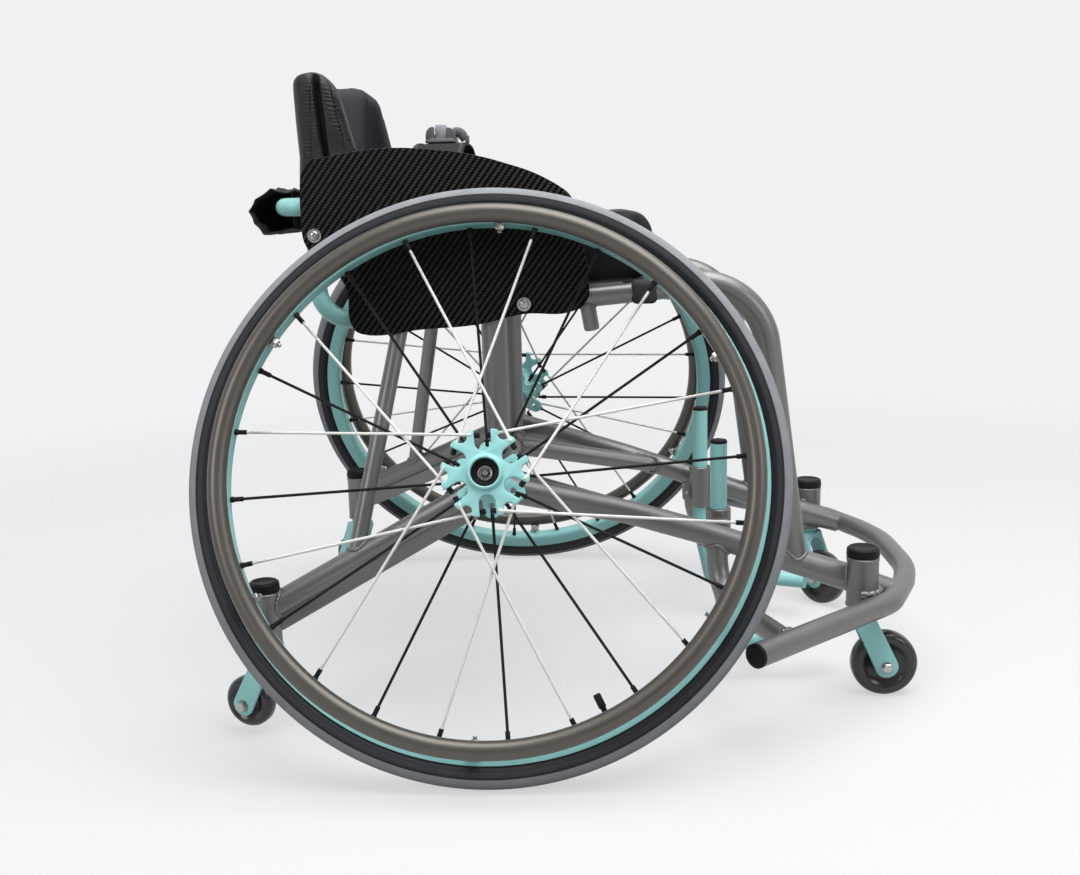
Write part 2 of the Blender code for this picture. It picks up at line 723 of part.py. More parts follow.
def crossbar_path():
    height = crossbar_height()
    return [(0, -CROSSBAR_HALF, height, CROSSBAR_RADIUS, 0), (0, CROSSBAR_HALF, height, CROSSBAR_RADIUS, 0)]


def rail_path():
    return [
        (RAIL_REAR_END[0], RAIL_Y, RAIL_REAR_END[1], SEAT_RAIL_RADIUS, 0),
        (RAIL_FRONT[0], RAIL_Y, RAIL_FRONT[1], SEAT_RAIL_RADIUS, 0.10),
        (0.287, RAIL_Y - 0.0047, 0.4810, DOWN_TUBE_RADIUS, 0.078),
        (0.3315, RAIL_Y - 0.0057, 0.1520, DOWN_TUBE_RADIUS, 0),
    ]


def post_path():
    return [(0, POST_Y, crossbar_height(), POST_RADIUS, 0), (0, POST_Y, 0.447, POST_RADIUS, 0)]


def rear_member_path():
    start = axle_point(AXLE_INNER_END + 0.002)
    return [
        (start.x - 0.004, start.y - 0.012, start.z + 0.010, REAR_MEMBER_RADIUS, 0),
        (REAR_SWIVEL[0], REAR_SWIVEL[1], 0.141, REAR_MEMBER_RADIUS, 0),
    ]


def strut_path():
    first, last = (Vector(corner[:3]) for corner in rear_member_path())
    foot = first.lerp(last, 0.62)
    return [(-0.100, RAIL_Y - 0.004, 0.437, STRUT_RADIUS, 0), (*foot, STRUT_RADIUS, 0)]


def wing_strut_path():
    return [
        (0.243, RAIL_Y - 0.0032, 0.182, WING_STRUT_RADIUS, 0),
        (0.246, RAIL_Y + 0.0023, BUMPER_HEIGHT, WING_STRUT_RADIUS, 0.045),
        (0.300, RAIL_Y + 0.1538, BUMPER_HEIGHT, WING_STRUT_RADIUS, 0),
    ]


def bumper_path():
    half = [
        (BUMPER_FRONT, 0.060, BUMPER_HEIGHT, BUMPER_RADIUS, 0.20),
        (0.4640, RAIL_Y - 0.0417, BUMPER_HEIGHT, BUMPER_RADIUS, 0.06),
        (0.4320, RAIL_Y + 0.0303, BUMPER_HEIGHT, BUMPER_RADIUS, 0.06),
        (0.263, RAIL_Y + 0.1853, BUMPER_HEIGHT, BUMPER_RADIUS, 0),
    ]
    return on_side(list(reversed(half)), -1) + half


def footrest_paths():
    leg = [
        (FOOT_X, FOOT_Y, FOOT_TOP, FOOT_TUBE, 0),
        (FOOT_X, FOOT_Y, 0.122, FOOT_TUBE, 0.04),
        (0.271, FOOT_Y, FOOT_RUN_HEIGHT, FOOT_TUBE, 0.020),
        (0.345, FOOT_Y, FOOT_RUN_HEIGHT, FOOT_TUBE, 0.03),
        (0.388, FOOT_Y - 0.023, FOOT_RUN_HEIGHT, FOOT_TUBE, 0),
    ]
    cross = [
        (FOOT_CROSS_X, -FOOT_Y, FOOT_RUN_HEIGHT, FOOT_TUBE - 0.0005, 0),
        (FOOT_CROSS_X, FOOT_Y, FOOT_RUN_HEIGHT, FOOT_TUBE - 0.0005, 0),
    ]
    return [on_side(leg, 1), on_side(leg, -1), cross]


def back_frame_paths():
    rear_end = RAIL_REAR_END[0] - FIT
    bow = [
        (BACK_BAR_X, RAIL_Y, BACK_BAR_HEIGHT, BACK_TUBE_RADIUS, 0.018),
        (CANE_X, RAIL_Y, BACK_BAR_HEIGHT, BACK_TUBE_RADIUS, 0.014),
        (CANE_X, RAIL_Y, RAIL_REAR_END[1] + 0.002, BACK_TUBE_RADIUS, 0.035),
        (rear_end, RAIL_Y, RAIL_REAR_END[1], BACK_TUBE_RADIUS, 0),
    ]
    cane = [
        (CANE_X, RAIL_Y, BACK_BAR_HEIGHT - 0.030, BACK_TUBE_RADIUS - 0.0002, 0),
        (CANE_X, RAIL_Y, CANE_TOP, BACK_TUBE_RADIUS - 0.0002, 0),
    ]
    return [on_side(list(reversed(bow)), -1) + bow, on_side(cane, 1), on_side(cane, -1)]


def coping(corners, side, grow=FIT):
    return tube(bent_path(on_side(corners, side)), grow=grow)


def socket_bar(side, radius, start, end, sides=16):
    return moved(rod(radius, start, end, sides), wheel_frame(side))


def barrel_bar(swivel, side, radius, span, sides=20):
    return moved(rod(radius, *span, sides), Matrix.Translation((swivel[0], side * swivel[1], 0)))


def build_crossbar():
    """The straight bar between the wheels with a camber socket on each end."""
    shape = tube(bent_path(crossbar_path()))
    for _, side in SIDES:
        shape = fuse(shape, socket_bar(side, SOCKET_RADIUS, socket_foot() - 0.006, SOCKET_END))
    for _, side in SIDES:
        shape = cut(shape, socket_bar(side, AXLE_RADIUS + RUN, AXLE_INNER_END - RUN, SOCKET_END + 0.01))
    add("axle_crossbar", shape, "satin_grey")


def junction_tools(side):
    """Coping tools for what welds onto the crossbar and its camber socket."""
    return [
        coping(crossbar_path(), 1),
        socket_bar(side, SOCKET_RADIUS + FIT, socket_foot() - 0.006 - FIT, SOCKET_END + FIT),
    ]


def build_side_tubes():
    """Tapered lower side tube, its inner brace and the front caster barrel, welded as one."""
    for name, side in SIDES:
        shape = tube(bent_path(on_side(side_tube_path(), side)))
        shape = fuse(shape, tube(bent_path(on_side(inner_tube_path(), side))))
        shape = fuse(shape, barrel_bar(FRONT_SWIVEL, side, FRONT_BARREL_RADIUS, FRONT_BARREL))
        bore = (FRONT_BARREL[0] - 0.01, FRONT_BARREL[1] + 0.01)
        shape = cut(shape, barrel_bar(FRONT_SWIVEL, side, STEM_RADIUS + RUN, bore, 16))
        shape = cut(shape, *junction_tools(side), tube(bent_path(bumper_path()), grow=FIT))
        add(f"{name}_side_tube", shape, "satin_grey")


def rear_fin(side):
    """The flat web welded under the rear member."""
    first, last = (Vector(corner[:3]) for corner in on_side(rear_member_path(), side))
    run = (last - first).normalized()
    up = (Vector((0, 0, 1)) - run * run.z).normalized()
    frame = Matrix.Identity(4)
    for column, axis in enumerate((run, up.cross(run), up)):
        frame.col[column][:3] = axis
    frame = Matrix.Translation(first) @ frame
    web = block(
        (0.002, -REAR_FIN_THICK / 2, -REAR_FIN_DEPTH), ((last - first).length - 0.004, REAR_FIN_THICK / 2, 0.0)
    )
    return moved(web, frame)


def build_rear_members():
    """Rear member with its web and the anti-tip caster's barrel."""
    for name, side in SIDES:
        shape = fuse(tube(bent_path(on_side(rear_member_path(), side))), rear_fin(side))
        shape = fuse(shape, barrel_bar(REAR_SWIVEL, side, REAR_BARREL_RADIUS, REAR_BARREL))
        bore = (REAR_BARREL[0] - 0.01, REAR_BARREL[1] + 0.01)
        shape = cut(shape, barrel_bar(REAR_SWIVEL, side, STEM_RADIUS + RUN, bore, 16))
        shape = cut(shape, *junction_tools(side), coping(side_tube_path(), side))
        add(f"{name}_rear_member", shape, "satin_grey")


def build_uprights():
    """Seat rails that bend down into the front down tubes, the seat posts and the rear struts."""
    for name, side in SIDES:
        rail = tube(bent_path(on_side(rail_path(), side)))
        add(f"{name}_seat_rail", cut(rail, coping(side_tube_path(), side)), "satin_grey")
        post = tube(bent_path(on_side(post_path(), side)))
        post = cut(post, *junction_tools(side), coping(side_tube_path(), side), coping(rail_path(), side))
        post = cut(post, coping(rear_member_path(), side))
        add(f"{name}_seat_post", post, "satin_grey")
        strut = tube(bent_path(on_side(strut_path(), side)))
        strut = cut(strut, coping(rail_path(), side), coping(rear_member_path(), side))
        add(f"{name}_rear_strut", strut, "satin_grey")


def build_bumper():
    add("front_bumper", tube(bent_path(bumper_path())), "satin_grey")
    for name, side in SIDES:
        strut = tube(bent_path(on_side(wing_strut_path(), side)))
        strut = cut(strut, coping(side_tube_path(), side), tube(bent_path(bumper_path()), grow=FIT))
        add(f"{name}_wing_strut", strut, "satin_grey")
        corners = on_side(bumper_path(), side)
        end, before = Vector(corners[-1][:3]), Vector(corners[-2][:3])
        out = (end - before).normalized()
        plug = between(rod(BUMPER_RADIUS, FIT, BUMPER_CAP_THICK, 14), end, end + out)
        add(f"{name}_bumper_cap", plug, "black_plastic")


# Footrest


def build_footrest():
    """U-shaped footrest. Its two uprights slide in the collars, and a clamp bolt holds the height."""
    shape = None
    for corners in footrest_paths():
        part = tube(bent_path(corners))
        shape = part if shape is None else fuse(shape, part)
    add("footrest", shape, "mint_paint")
    for name, side in SIDES:
        cap = moved(cap_shape(FOOT_TUBE, FOOT_CAP), Matrix.Translation((FOOT_X, side * FOOT_Y, FOOT_TOP + FIT)))
        add(f"{name}_footrest_cap", cap, "black_plastic")
        place = Matrix.Translation((FOOT_X, side * FOOT_Y, 0))
        collar = moved(rod(COLLAR_RADIUS, *COLLAR, 20), place)
        lug_low, lug_high = sorted((side * (FOOT_Y + 0.010), side * COLLAR_LUG_END))
        lug = block((FOOT_X - 0.008, lug_low, 0.164), (FOOT_X + 0.008, lug_high, 0.198))
        ears = block(
            (FOOT_X - COLLAR_RADIUS - 0.009, side * FOOT_Y - 0.005, 0.160),
            (FOOT_X - COLLAR_RADIUS + 0.003, side * FOOT_Y + 0.005, 0.180),
        )
        bore = moved(rod(FOOT_TUBE + RUN, COLLAR[0] - 0.01, COLLAR[1] + 0.01, 20), place)
        collar = cut(fuse(collar, lug, ears), bore, coping(side_tube_path(), side))
        add(f"{name}_footrest_collar", collar, "satin_grey")


# Guards, seat and back


def build_guards():
    for name, side in SIDES:
        inner, outer = side * GUARD_INNER, side * (GUARD_INNER + GUARD_THICK)
        low, high = sorted((-inner, -outer))
        add(f"{name}_side_guard", to_side_view(plate(GUARD_OUTLINE, low, high)), "carbon_twill")


def build_back_frame():
    bow, *canes = (tube(bent_path(corners)) for corners in back_frame_paths())
    rails = (coping(rail_path(), side) for _, side in SIDES)
    add("back_frame", cut(fuse(bow, *canes), *rails), "mint_paint")


def sling_stations():
    """Plan of the back sling from the front of the left wing to its middle: (x, y, outward x, outward y)."""
    mid = BACK_THICK / 2
    side_y = GUARD_INNER - FIT - mid
    rear_x = BACK_BAR_X + BACK_TUBE_RADIUS + 3 * FIT + mid
    radius = BACK_CORNER - mid
    front = BACK_WING_FRONT[0]
    stations = [(front + share * (rear_x + radius - front), side_y, 0.0, 1.0) for share in (0, 0.08, 0.22, 0.5)]
    for step in range(5):
        swing = pi / 2 + step * pi / 8
        outward = (cos(swing), sin(swing))
        stations.append((rear_x + radius * (1 + outward[0]), side_y - radius * (1 - outward[1]), *outward))
    stations += [(rear_x, side_y * share, -1.0, 0.0) for share in (0.6, 0.3, 0.0)]
    return stations


def sling_section(station):
    """The sling's upright section at one station: a soft pad with a crowned top and a slanted wing front."""
    x, y, out_x, out_y = station
    mid = BACK_THICK / 2
    forward = max(0.0, (x - CANE_X) / (BACK_WING_FRONT[0] - CANE_X))
    top = BACK_TOP - BACK_SAG * (1 - abs(y) / GUARD_INNER) ** 0.7 - 0.018 * forward**4
    section = [(-mid, BACK_BOTTOM), (-mid - 0.002, top - 0.09), (-mid, top - 0.012), (-mid / 2, top - 0.003)]
    section += [(0, top), (mid / 2, top - 0.003), (mid, top - 0.012), (mid, top - 0.09), (mid, BACK_BOTTOM)]
    slant = BACK_WING_SLANT * forward
    return [(x + out_x * out + slant * (z - BACK_WING_FRONT[1]), y + out_y * out, z) for out, z in section]


def leaned(x, y, z):
    share = (z - BACK_BOTTOM) / (BACK_TOP - BACK_BOTTOM)
    return (x, y, z + BACK_LEAN * share * y / GUARD_INNER)


def build_upholstery():
    """U-shaped back sling between the guards, with a pocket for each cane."""
    left = [sling_section(station) for station in sling_stations()]
    right = [[(x, -y, z) for x, y, z in section] for section in reversed(left[:-1])]
    shape = bmesh.new()
    rings = [[shape.verts.new(leaned(*point)) for point in section] for section in left + right]
    for near, far in zip(rings, rings[1:]):
        for k, corner in enumerate(near):
            shape.faces.new((corner, near[k - 1], far[k - 1], far[k]))
    shape.faces.new(rings[0])
    shape.faces.new(rings[-1])
    bmesh.ops.recalc_face_normals(shape, faces=shape.faces)
    for corners in back_frame_paths():
        shape = cut(shape, tube(bent_path(corners), grow=FIT))
    add("back_upholstery", shape, "black_leather")


def build_pouch():
    """Fabric sleeve that hangs over the lateral back bar."""
    bar = (BACK_BAR_X, BACK_BAR_HEIGHT)
    outer = [(-0.038, 0.0), (-0.028, 0.018), (0.002, 0.0205), (0.009, 0.016), (0.009, -0.022), (-0.020, -0.029)]
    inner = [(-0.034, 0.0), (-0.026, 0.0145), (-0.011, 0.0155), (-0.009, -0.012), (0.004, -0.018), (-0.019, -0.025)]
    outline, hollow = ([(bar[0] + x, bar[1] + z) for x, z in loop] for loop in (outer, inner))
    shape = to_side_view(plate(outline, -POUCH_HALF, POUCH_HALF))
    shape = cut(shape, to_side_view(plate(hollow, -POUCH_HALF - 0.01, POUCH_HALF + 0.01)))
    for corners in back_frame_paths():
        shape = cut(shape, tube(bent_path(corners), grow=FIT))
    add("back_pouch", shape, "black_leather")


def build_seat():
    """Soft crowned seat cushion lying on the rails between the guards."""
    half = GUARD_INNER - 0.004
    middle, reach = (SEAT_FRONT + SEAT_REAR) / 2, (SEAT_FRONT - SEAT_REAR) / 2
    rise = (RAIL_FRONT[1] - RAIL_REAR_END[1]) / (RAIL_FRONT[0] - RAIL_REAR_END[0])
    shape = bmesh.new()
    bmesh.ops.create_grid(shape, x_segments=10, y_segments=8, size=1.0)
    lifted = bmesh.ops.extrude_face_region(shape, geom=list(shape.faces))["geom"]
    bmesh.ops.translate(shape, vec=(0, 0, 1), verts=[item for item in lifted if isinstance(item, bmesh.types.BMVert)])
    upright = [edge for edge in shape.edges if edge.verts[0].co.z != edge.verts[1].co.z]
    levels = len(SEAT_LAYERS) - 1
    bmesh.ops.subdivide_edges(shape, edges=upright, cuts=levels - 1, use_grid_fill=True)
    for vert in shape.verts:
        u, v, height = vert.co
        share, inset = SEAT_LAYERS[round(height * levels)]
        x = middle + u * (reach - inset)
        rest = RAIL_REAR_END[1] + rise * (x - RAIL_REAR_END[0]) + SEAT_RAIL_RADIUS + 3 * FIT
        crown = SEAT_CROWN * (1 - max(abs(u), abs(v)) ** 6) + SEAT_BOLSTER * max(0.0, u) ** 4 if share == 1.0 else 0.0
        vert.co = (x, v * (half - inset), rest + share * (SEAT_THICK - SEAT_CROWN) + crown)
    bmesh.ops.recalc_face_normals(shape, faces=shape.faces)
    shape = cut(shape, *(tube(bent_path(corners), grow=FIT) for corners in back_frame_paths()))
    add("seat_cushion", shape, "black_leather")


# Lap belt


def build_belt():
    """Belt arched over the lap from guard to guard, with a ratchet buckle and its lever on top."""
    half = GUARD_INNER - FIT
    steps = 16
    outer = []
    for step in range(steps + 1):
        across = -1 + 2 * step / steps
        height = BELT_ANCHOR + (BELT_TOP - BELT_ANCHOR) * (1 - abs(across) ** 3.2)
        outer.append((half * across, height))
    under = [(y * (1 - BELT_THICK / half), z - BELT_THICK) for y, z in outer]
    strap = plate(outer + under[::-1], *BELT_X)
    turn = Matrix.Rotation(pi / 2, 4, "Z") @ Matrix.Rotation(pi / 2, 4, "X")
    add("lap_belt", moved(strap, turn), "webbing")
    low_x, high_x = BUCKLE_X
    seat = BELT_TOP + FIT
    ear = 0.003
    base = block((low_x, -BUCKLE_LENGTH / 2, seat), (high_x, BUCKLE_LENGTH / 2, seat + BUCKLE_BASE))
    for edge in (low_x, high_x - ear):
        base = fuse(base, block((edge, -0.012, seat + 0.001), (edge + ear, 0.012, seat + 0.013)))
    pivot = seat + 0.009
    pin = moved(rod(0.0018, low_x + ear / 2, high_x - ear / 2, 10), Matrix.Rotation(pi / 2, 4, "Y"))
    base = fuse(base, moved(pin, Matrix.Translation((0, 0, pivot))))
    add("buckle_body", base, "black_plastic")
    axis = axis_empty("buckle_lever_axis", Matrix.Translation((sum(BUCKLE_X) / 2, 0, pivot)))
    inner_half = (high_x - low_x) / 2 - ear - RUN
    blade = block((-inner_half, -0.004, -0.003), (inner_half, LEVER_LENGTH, LEVER_THICK - 0.003))
    eye = moved(rod(0.0018 + RUN, -0.1, 0.1, 12), Matrix.Rotation(pi / 2, 4, "Y"))
    add("buckle_lever", cut(blade, eye), "satin_grey", axis)


def main():
    clear_scene()
    build_wheels()
    build_casters()
    build_crossbar()
    build_side_tubes()
    build_rear_members()
    build_uprights()
    build_bumper()
    build_footrest()
    build_guards()
    build_back_frame()
    build_upholstery()
    build_pouch()
    build_seat()
    build_belt()


main()
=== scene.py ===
"""Court wheelchair with cambered wheels: finished surfaces, upholstery and studio.

Metres, +Z up, +X forward, +Y to the sitter's left. Pieces are drawn with the wheels' axle line at
x = 0, and put() sets each one back to the frame's own origin. Only rows() and turned() take
millimetres, as flat lists of numbers. Pieces of a pair are drawn for the left side.
"""

from math import ceil, cos, exp, pi, radians, sin, sqrt, tan

import bmesh
import bpy
from mathutils import Matrix, Vector


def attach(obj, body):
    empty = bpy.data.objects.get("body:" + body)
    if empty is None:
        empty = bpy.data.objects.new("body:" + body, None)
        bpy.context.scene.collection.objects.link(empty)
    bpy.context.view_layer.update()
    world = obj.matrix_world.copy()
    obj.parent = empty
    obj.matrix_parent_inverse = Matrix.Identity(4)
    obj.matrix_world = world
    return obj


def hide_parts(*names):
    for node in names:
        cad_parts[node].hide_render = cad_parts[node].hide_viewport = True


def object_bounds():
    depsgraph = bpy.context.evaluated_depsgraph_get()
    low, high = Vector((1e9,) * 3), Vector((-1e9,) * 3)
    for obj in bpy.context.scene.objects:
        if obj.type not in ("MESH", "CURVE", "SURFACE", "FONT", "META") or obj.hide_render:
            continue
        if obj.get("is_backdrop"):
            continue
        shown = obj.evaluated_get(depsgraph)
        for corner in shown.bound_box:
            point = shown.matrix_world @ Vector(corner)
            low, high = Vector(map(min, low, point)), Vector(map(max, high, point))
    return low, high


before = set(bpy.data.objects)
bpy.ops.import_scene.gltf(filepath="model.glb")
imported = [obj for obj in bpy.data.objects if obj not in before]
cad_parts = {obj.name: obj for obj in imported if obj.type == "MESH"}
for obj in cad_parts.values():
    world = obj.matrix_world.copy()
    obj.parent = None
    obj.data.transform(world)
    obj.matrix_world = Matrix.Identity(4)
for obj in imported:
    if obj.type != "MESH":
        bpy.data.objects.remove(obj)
cad_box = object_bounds()

AXLE_X = -0.0945
SIDES = (("right", -1), ("left", 1))
QUARTER = pi / 2


def rows(width, *values):
    """Rows of numbers from a flat list. The lengths in them turn from millimetres to metres."""
    return [tuple(value / 1000 for value in values[k : k + width]) for k in range(0, len(values), width)]


# Wheels
CAMBER = radians(20.0)
WHEEL_TRACK = 0.290
HUB_HEIGHT = 0.28595
TYRE_RADIUS = 0.3035
TYRE_SECTION = 0.0125
HANDRIM_RADIUS = 0.2631
HANDRIM_OFFSET = 0.0402
HANDRIM_TUBE = 0.0095
STAR_PHASE = radians(4.0)
ARM_STEP = radians(60.0)
TAB_FIRST = radians(27.0)
VALVE_ANGLE = radians(-64.0)
RING = 180
SPOKE_REACH = 0.2619

# Frame
BUMPER_Z = 0.114
RAIL_Y = 0.1557
GUARD_FACE = 0.1690
GUARD_INNER = 0.1670
BELT_TOP = 0.626


# Mesh tools


def clear_selection():
    bpy.ops.object.select_all(action="DESELECT")


def only(piece):
    """Select one piece and make it active."""
    clear_selection()
    piece.select_set(True)
    bpy.context.view_layer.objects.active = piece
    return piece


def editing(*steps):
    """Run the steps on the whole of the active mesh in edit mode."""
    bpy.ops.object.mode_set(mode="EDIT")
    for step, options in steps:
        bpy.ops.mesh.select_all(action="SELECT")
        step(**options)
    bpy.ops.object.mode_set(mode="OBJECT")


def apply_modifiers(piece):
    only(piece)
    for modifier in list(piece.modifiers):
        bpy.ops.object.modifier_apply(modifier=modifier.name)
    return piece


def modified(piece, kind, **settings):
    """Add one modifier and apply it."""
    modifier = piece.modifiers.new("shaped", kind)
    for key, value in settings.items():
        setattr(modifier, key, value)
    return apply_modifiers(piece)


def rounded(piece, width, segments=2, angle=40.0):
    """Round every edge that turns more than the angle."""
    return modified(
        piece, "BEVEL", width=width, segments=segments, limit_method="ANGLE", angle_limit=radians(angle)
    )


def subdivided(piece):
    return modified(piece, "SUBSURF", levels=1, render_levels=1)


def outward(piece):
    """Merge doubled points and turn every face outward."""
    only(piece)
    mesh = bpy.ops.mesh
    editing(
        (mesh.remove_doubles, {"threshold": 1e-6}),
        (mesh.delete_loose, {"use_verts": True, "use_edges": True, "use_faces": False}),
        (mesh.normals_make_consistent, {"inside": False}),
    )
    return piece


def outlined(points, fill="NOTHING"):
    """A closed outline through the points, ready to be swept."""
    clear_selection()
    bpy.ops.mesh.primitive_circle_add(vertices=len(points), radius=0.01, fill_type=fill)
    piece = bpy.context.object
    for vert, point in zip(piece.data.vertices, points):
        vert.co = point
    return piece


def lathe(outline, steps=48):
    """Spin a closed outline of (radius, height) points about Z."""
    piece = outlined([(radius, 0.0, height) for radius, height in outline])
    editing((bpy.ops.mesh.spin, {"steps": steps, "angle": 2 * pi, "center": (0, 0, 0), "axis": (0, 0, 1)}))
    return outward(piece)


def turned(steps, *values):
    """A lathe from a flat outline in millimetres."""
    return lathe(rows(2, *values), steps)


def plate(outline, low, high, edge=0.0, segments=3):
    """A slab with an outline of (x, y) points from low to high, its rims rounded."""
    piece = outlined([(x, y, low) for x, y in outline], "NGON")
    move = {"TRANSFORM_OT_translate": {"value": (0, 0, high - low)}}
    editing((bpy.ops.mesh.extrude_region_move, move), (bpy.ops.mesh.normals_make_consistent, {"inside": False}))
    return rounded(piece, edge, segments) if edge else piece


def block(low, high, edge=0.0, segments=2):
    """A box between two corners, its edges rounded."""
    clear_selection()
    middle = (Vector(low) + Vector(high)) / 2
    bpy.ops.mesh.primitive_cube_add(size=1.0, location=middle, scale=Vector(high) - Vector(low))
    bpy.ops.object.transform_apply(location=True, rotation=True, scale=True)
    return rounded(bpy.context.object, edge, segments) if edge else bpy.context.object


def rod(radius, start, end, edge=0.0006, steps=32):
    """A round bar along Z with softened ends."""
    outline = [(0, start), (radius - edge, start), (radius, start + edge)]
    return lathe(outline + [(radius, end - edge), (radius - edge, end), (0, end)], steps)


def shift(x, y, z):
    return Matrix.Translation((x, y, z))


def spin(angle, axis):
    return Matrix.Rotation(angle, 4, axis)


def moved(piece, matrix):
    piece.data.transform(matrix)
    return piece


def linked(name, data):
    """A new object in the scene."""
    piece = bpy.data.objects.new(name, data)
    bpy.context.scene.collection.objects.link(piece)
    return piece


def twin(piece):
    """A copy with its own mesh."""
    return linked(piece.name, piece.data.copy())


def joined(*pieces):
    clear_selection()
    for piece in pieces:
        piece.select_set(True)
    bpy.context.view_layer.objects.active = pieces[0]
    bpy.ops.object.join()
    return pieces[0]


def repeated(piece, matrices):
    """One mesh that holds the piece once for each matrix."""
    gathered = bmesh.new()
    for matrix in matrices:
        mesh = piece.data.copy()
        mesh.transform(matrix)
        gathered.from_mesh(mesh)
        bpy.data.meshes.remove(mesh)
    gathered.to_mesh(piece.data)
    gathered.free()
    return piece


def carved(piece, tool):
    """Cut the tool out of the piece, and remove the tool."""
    modified(piece, "BOOLEAN", operation="DIFFERENCE", solver="EXACT", object=tool)
    bpy.data.objects.remove(tool)
    return piece


def mirrored(piece, side):
    """The piece as drawn for the left side, or its mirror image for the right."""
    if side < 0:
        moved(piece, Matrix.Scale(-1.0, 4, (0, 1, 0)))
        piece.data.flip_normals()
    return piece


def bent_path(corners, arc_step=radians(5.0)):
    """Straight legs joined by arcs. A corner is (x, y, z, tube radius, bend radius)."""
    points = [Vector(corner[:3]) for corner in corners]
    path = [(points[0], corners[0][3])]
    for before, here, after, corner in zip(points, points[1:], points[2:], corners[1:]):
        back, ahead = (before - here).normalized(), (after - here).normalized()
        turn = pi - back.angle(ahead)
        if corner[4] <= 0.0 or turn < radians(1.0):
            path.append((here, corner[3]))
            continue
        reach = corner[4] * tan(turn / 2)
        centre = here + (back + ahead).normalized() * corner[4] / cos(turn / 2)
        first, last = here + back * reach - centre, here + ahead * reach - centre
        count = max(2, ceil(turn / arc_step))
        for step in range(count + 1):
            share = step / count
            spoke = (first * sin((1 - share) * turn) + last * sin(share * turn)) / sin(turn)
            path.append((centre + spoke, corner[3]))
    path.append((points[-1], corners[-1][3]))
    return path


def new_curve(name, **settings):
    curve = bpy.data.curves.new(name, "CURVE")
    for key, value in settings.items():
        setattr(curve, key, value)
    return curve


def meshed(curve):
    """The curve as a closed mesh."""
    only(linked(curve.name, curve))
    bpy.ops.object.convert(target="MESH")
    return outward(bpy.context.object)


def bead_line(path, closed=False, resolution=3):
    """A round bar along (point, radius) pairs, its ends closed where the line is open."""
    curve = new_curve("bar", dimensions="3D", bevel_depth=1.0, use_fill_caps=not closed)
    curve.bevel_resolution = resolution
    line = curve.splines.new("POLY")
    line.points.add(len(path) - 1)
    line.use_cyclic_u = closed
    for point, (place, radius) in zip(line.points, path):
        point.co = (*place, 1.0)
        point.radius = radius
    return meshed(curve)


def pipe(corners, sides=28):
    """A round tube along the corners."""
    return bead_line(bent_path(corners), resolution=sides // 2 - 2)


def between(start, end):
    """The matrix that stands a piece drawn up Z from start towards end."""
    turn = Vector((0, 0, 1)).rotation_difference(end - start).to_matrix().to_4x4()
    return Matrix.Translation(start) @ turn


def leg(corners, k, radius):
    """A path's straight leg from corner k on, as (point, second point, radius)."""
    return corners[k][:3], corners[k + 1][:3], radius


def ripple(count, bead, swell):
    """Radii of a weld bead that swells and narrows every sixth point."""
    return [bead * (1 + swell * sin(k * pi / 3)) for k in range(count)]


def weld(tube, onto, bead=0.0025):
    """Rippled weld bead where one tube's end meets another. A tube is (point, second point, radius)."""
    start, ahead, radius = Vector(tube[0]), (Vector(tube[1]) - Vector(tube[0])).normalized(), tube[2]
    foot, axis = Vector(onto[0]), (Vector(onto[1]) - Vector(onto[0])).normalized()
    turn = Vector((0, 0, 1)).rotation_difference(ahead).to_matrix()
    across = ahead - axis * ahead.dot(axis)
    points = []
    for k in range(144):
        swing = k * pi / 72
        begin = start + turn @ Vector((radius * cos(swing), radius * sin(swing), 0))
        offset = begin - foot
        offset -= axis * offset.dot(axis)
        half, square = offset.dot(across), across.length_squared
        inside = half * half - square * (offset.length_squared - onto[2] ** 2)
        points.append(begin + ahead * (-half - sqrt(inside)) / square if inside > 0 else None)
    gap = points.index(None) if None in points else 0
    line = [point for point in points[gap:] + points[:gap] if point]
    return bead_line(list(zip(line, ripple(len(line), bead, 0.12))), len(line) == len(points))


def puffed(piece, voxel, pressure, cap):
    """Swell a closed pad as cloth under pressure. No point moves further than cap."""
    modified(piece, "REMESH", mode="VOXEL", voxel_size=voxel)
    before = [vert.co.copy() for vert in piece.data.vertices]
    cloth = piece.modifiers.new("cloth", "CLOTH")
    cloth.settings.quality = 5
    cloth.settings.use_pressure = True
    cloth.settings.uniform_pressure_force = pressure
    cloth.settings.effector_weights.gravity = 0.0
    scene = bpy.context.scene
    for step in range(1, 21):
        scene.frame_set(step)
    apply_modifiers(piece)
    scene.frame_set(1)
    for vert, old in zip(piece.data.vertices, before):
        move = vert.co - old
        if move.length > cap:
            vert.co = old + move * (cap / move.length)
    return piece


FINISHES = {}  # a label for each material, with the slot that it stands in


def put(piece, name, look, nodes=(), body="chair_frame", matrix=None, smooth=35.0):
    """Give a finished piece its place, name, material, body and the solids that it stands for."""
    material, slot = FINISHES[look]
    piece.data.transform(piece.matrix_world)
    piece.matrix_world = Matrix.Identity(4)
    if matrix:
        piece.data.transform(matrix)
    piece.data.transform(shift(AXLE_X, 0, 0))
    piece.name = piece.data.name = name
    only(piece)
    bpy.ops.object.shade_smooth_by_angle(angle=radians(smooth))
    piece.data.materials.clear()
    piece.data.materials.append(material)
    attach(piece, body)
    if nodes:
        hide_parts(*nodes)
    return piece


def both_halves(corners):
    """A path across the chair from its left half, given from the middle outward."""
    return [(x, -y, *rest) for x, y, *rest in reversed(corners)] + corners


def wheel_frame(side):
    """Local Z is the wheel's axle, pointing outward, and local Y is up the cambered wheel."""
    turn = spin(0.0 if side < 0 else pi, "Z") @ spin(QUARTER - CAMBER, "X")
    return shift(0.0, side * WHEEL_TRACK, HUB_HEIGHT) @ turn


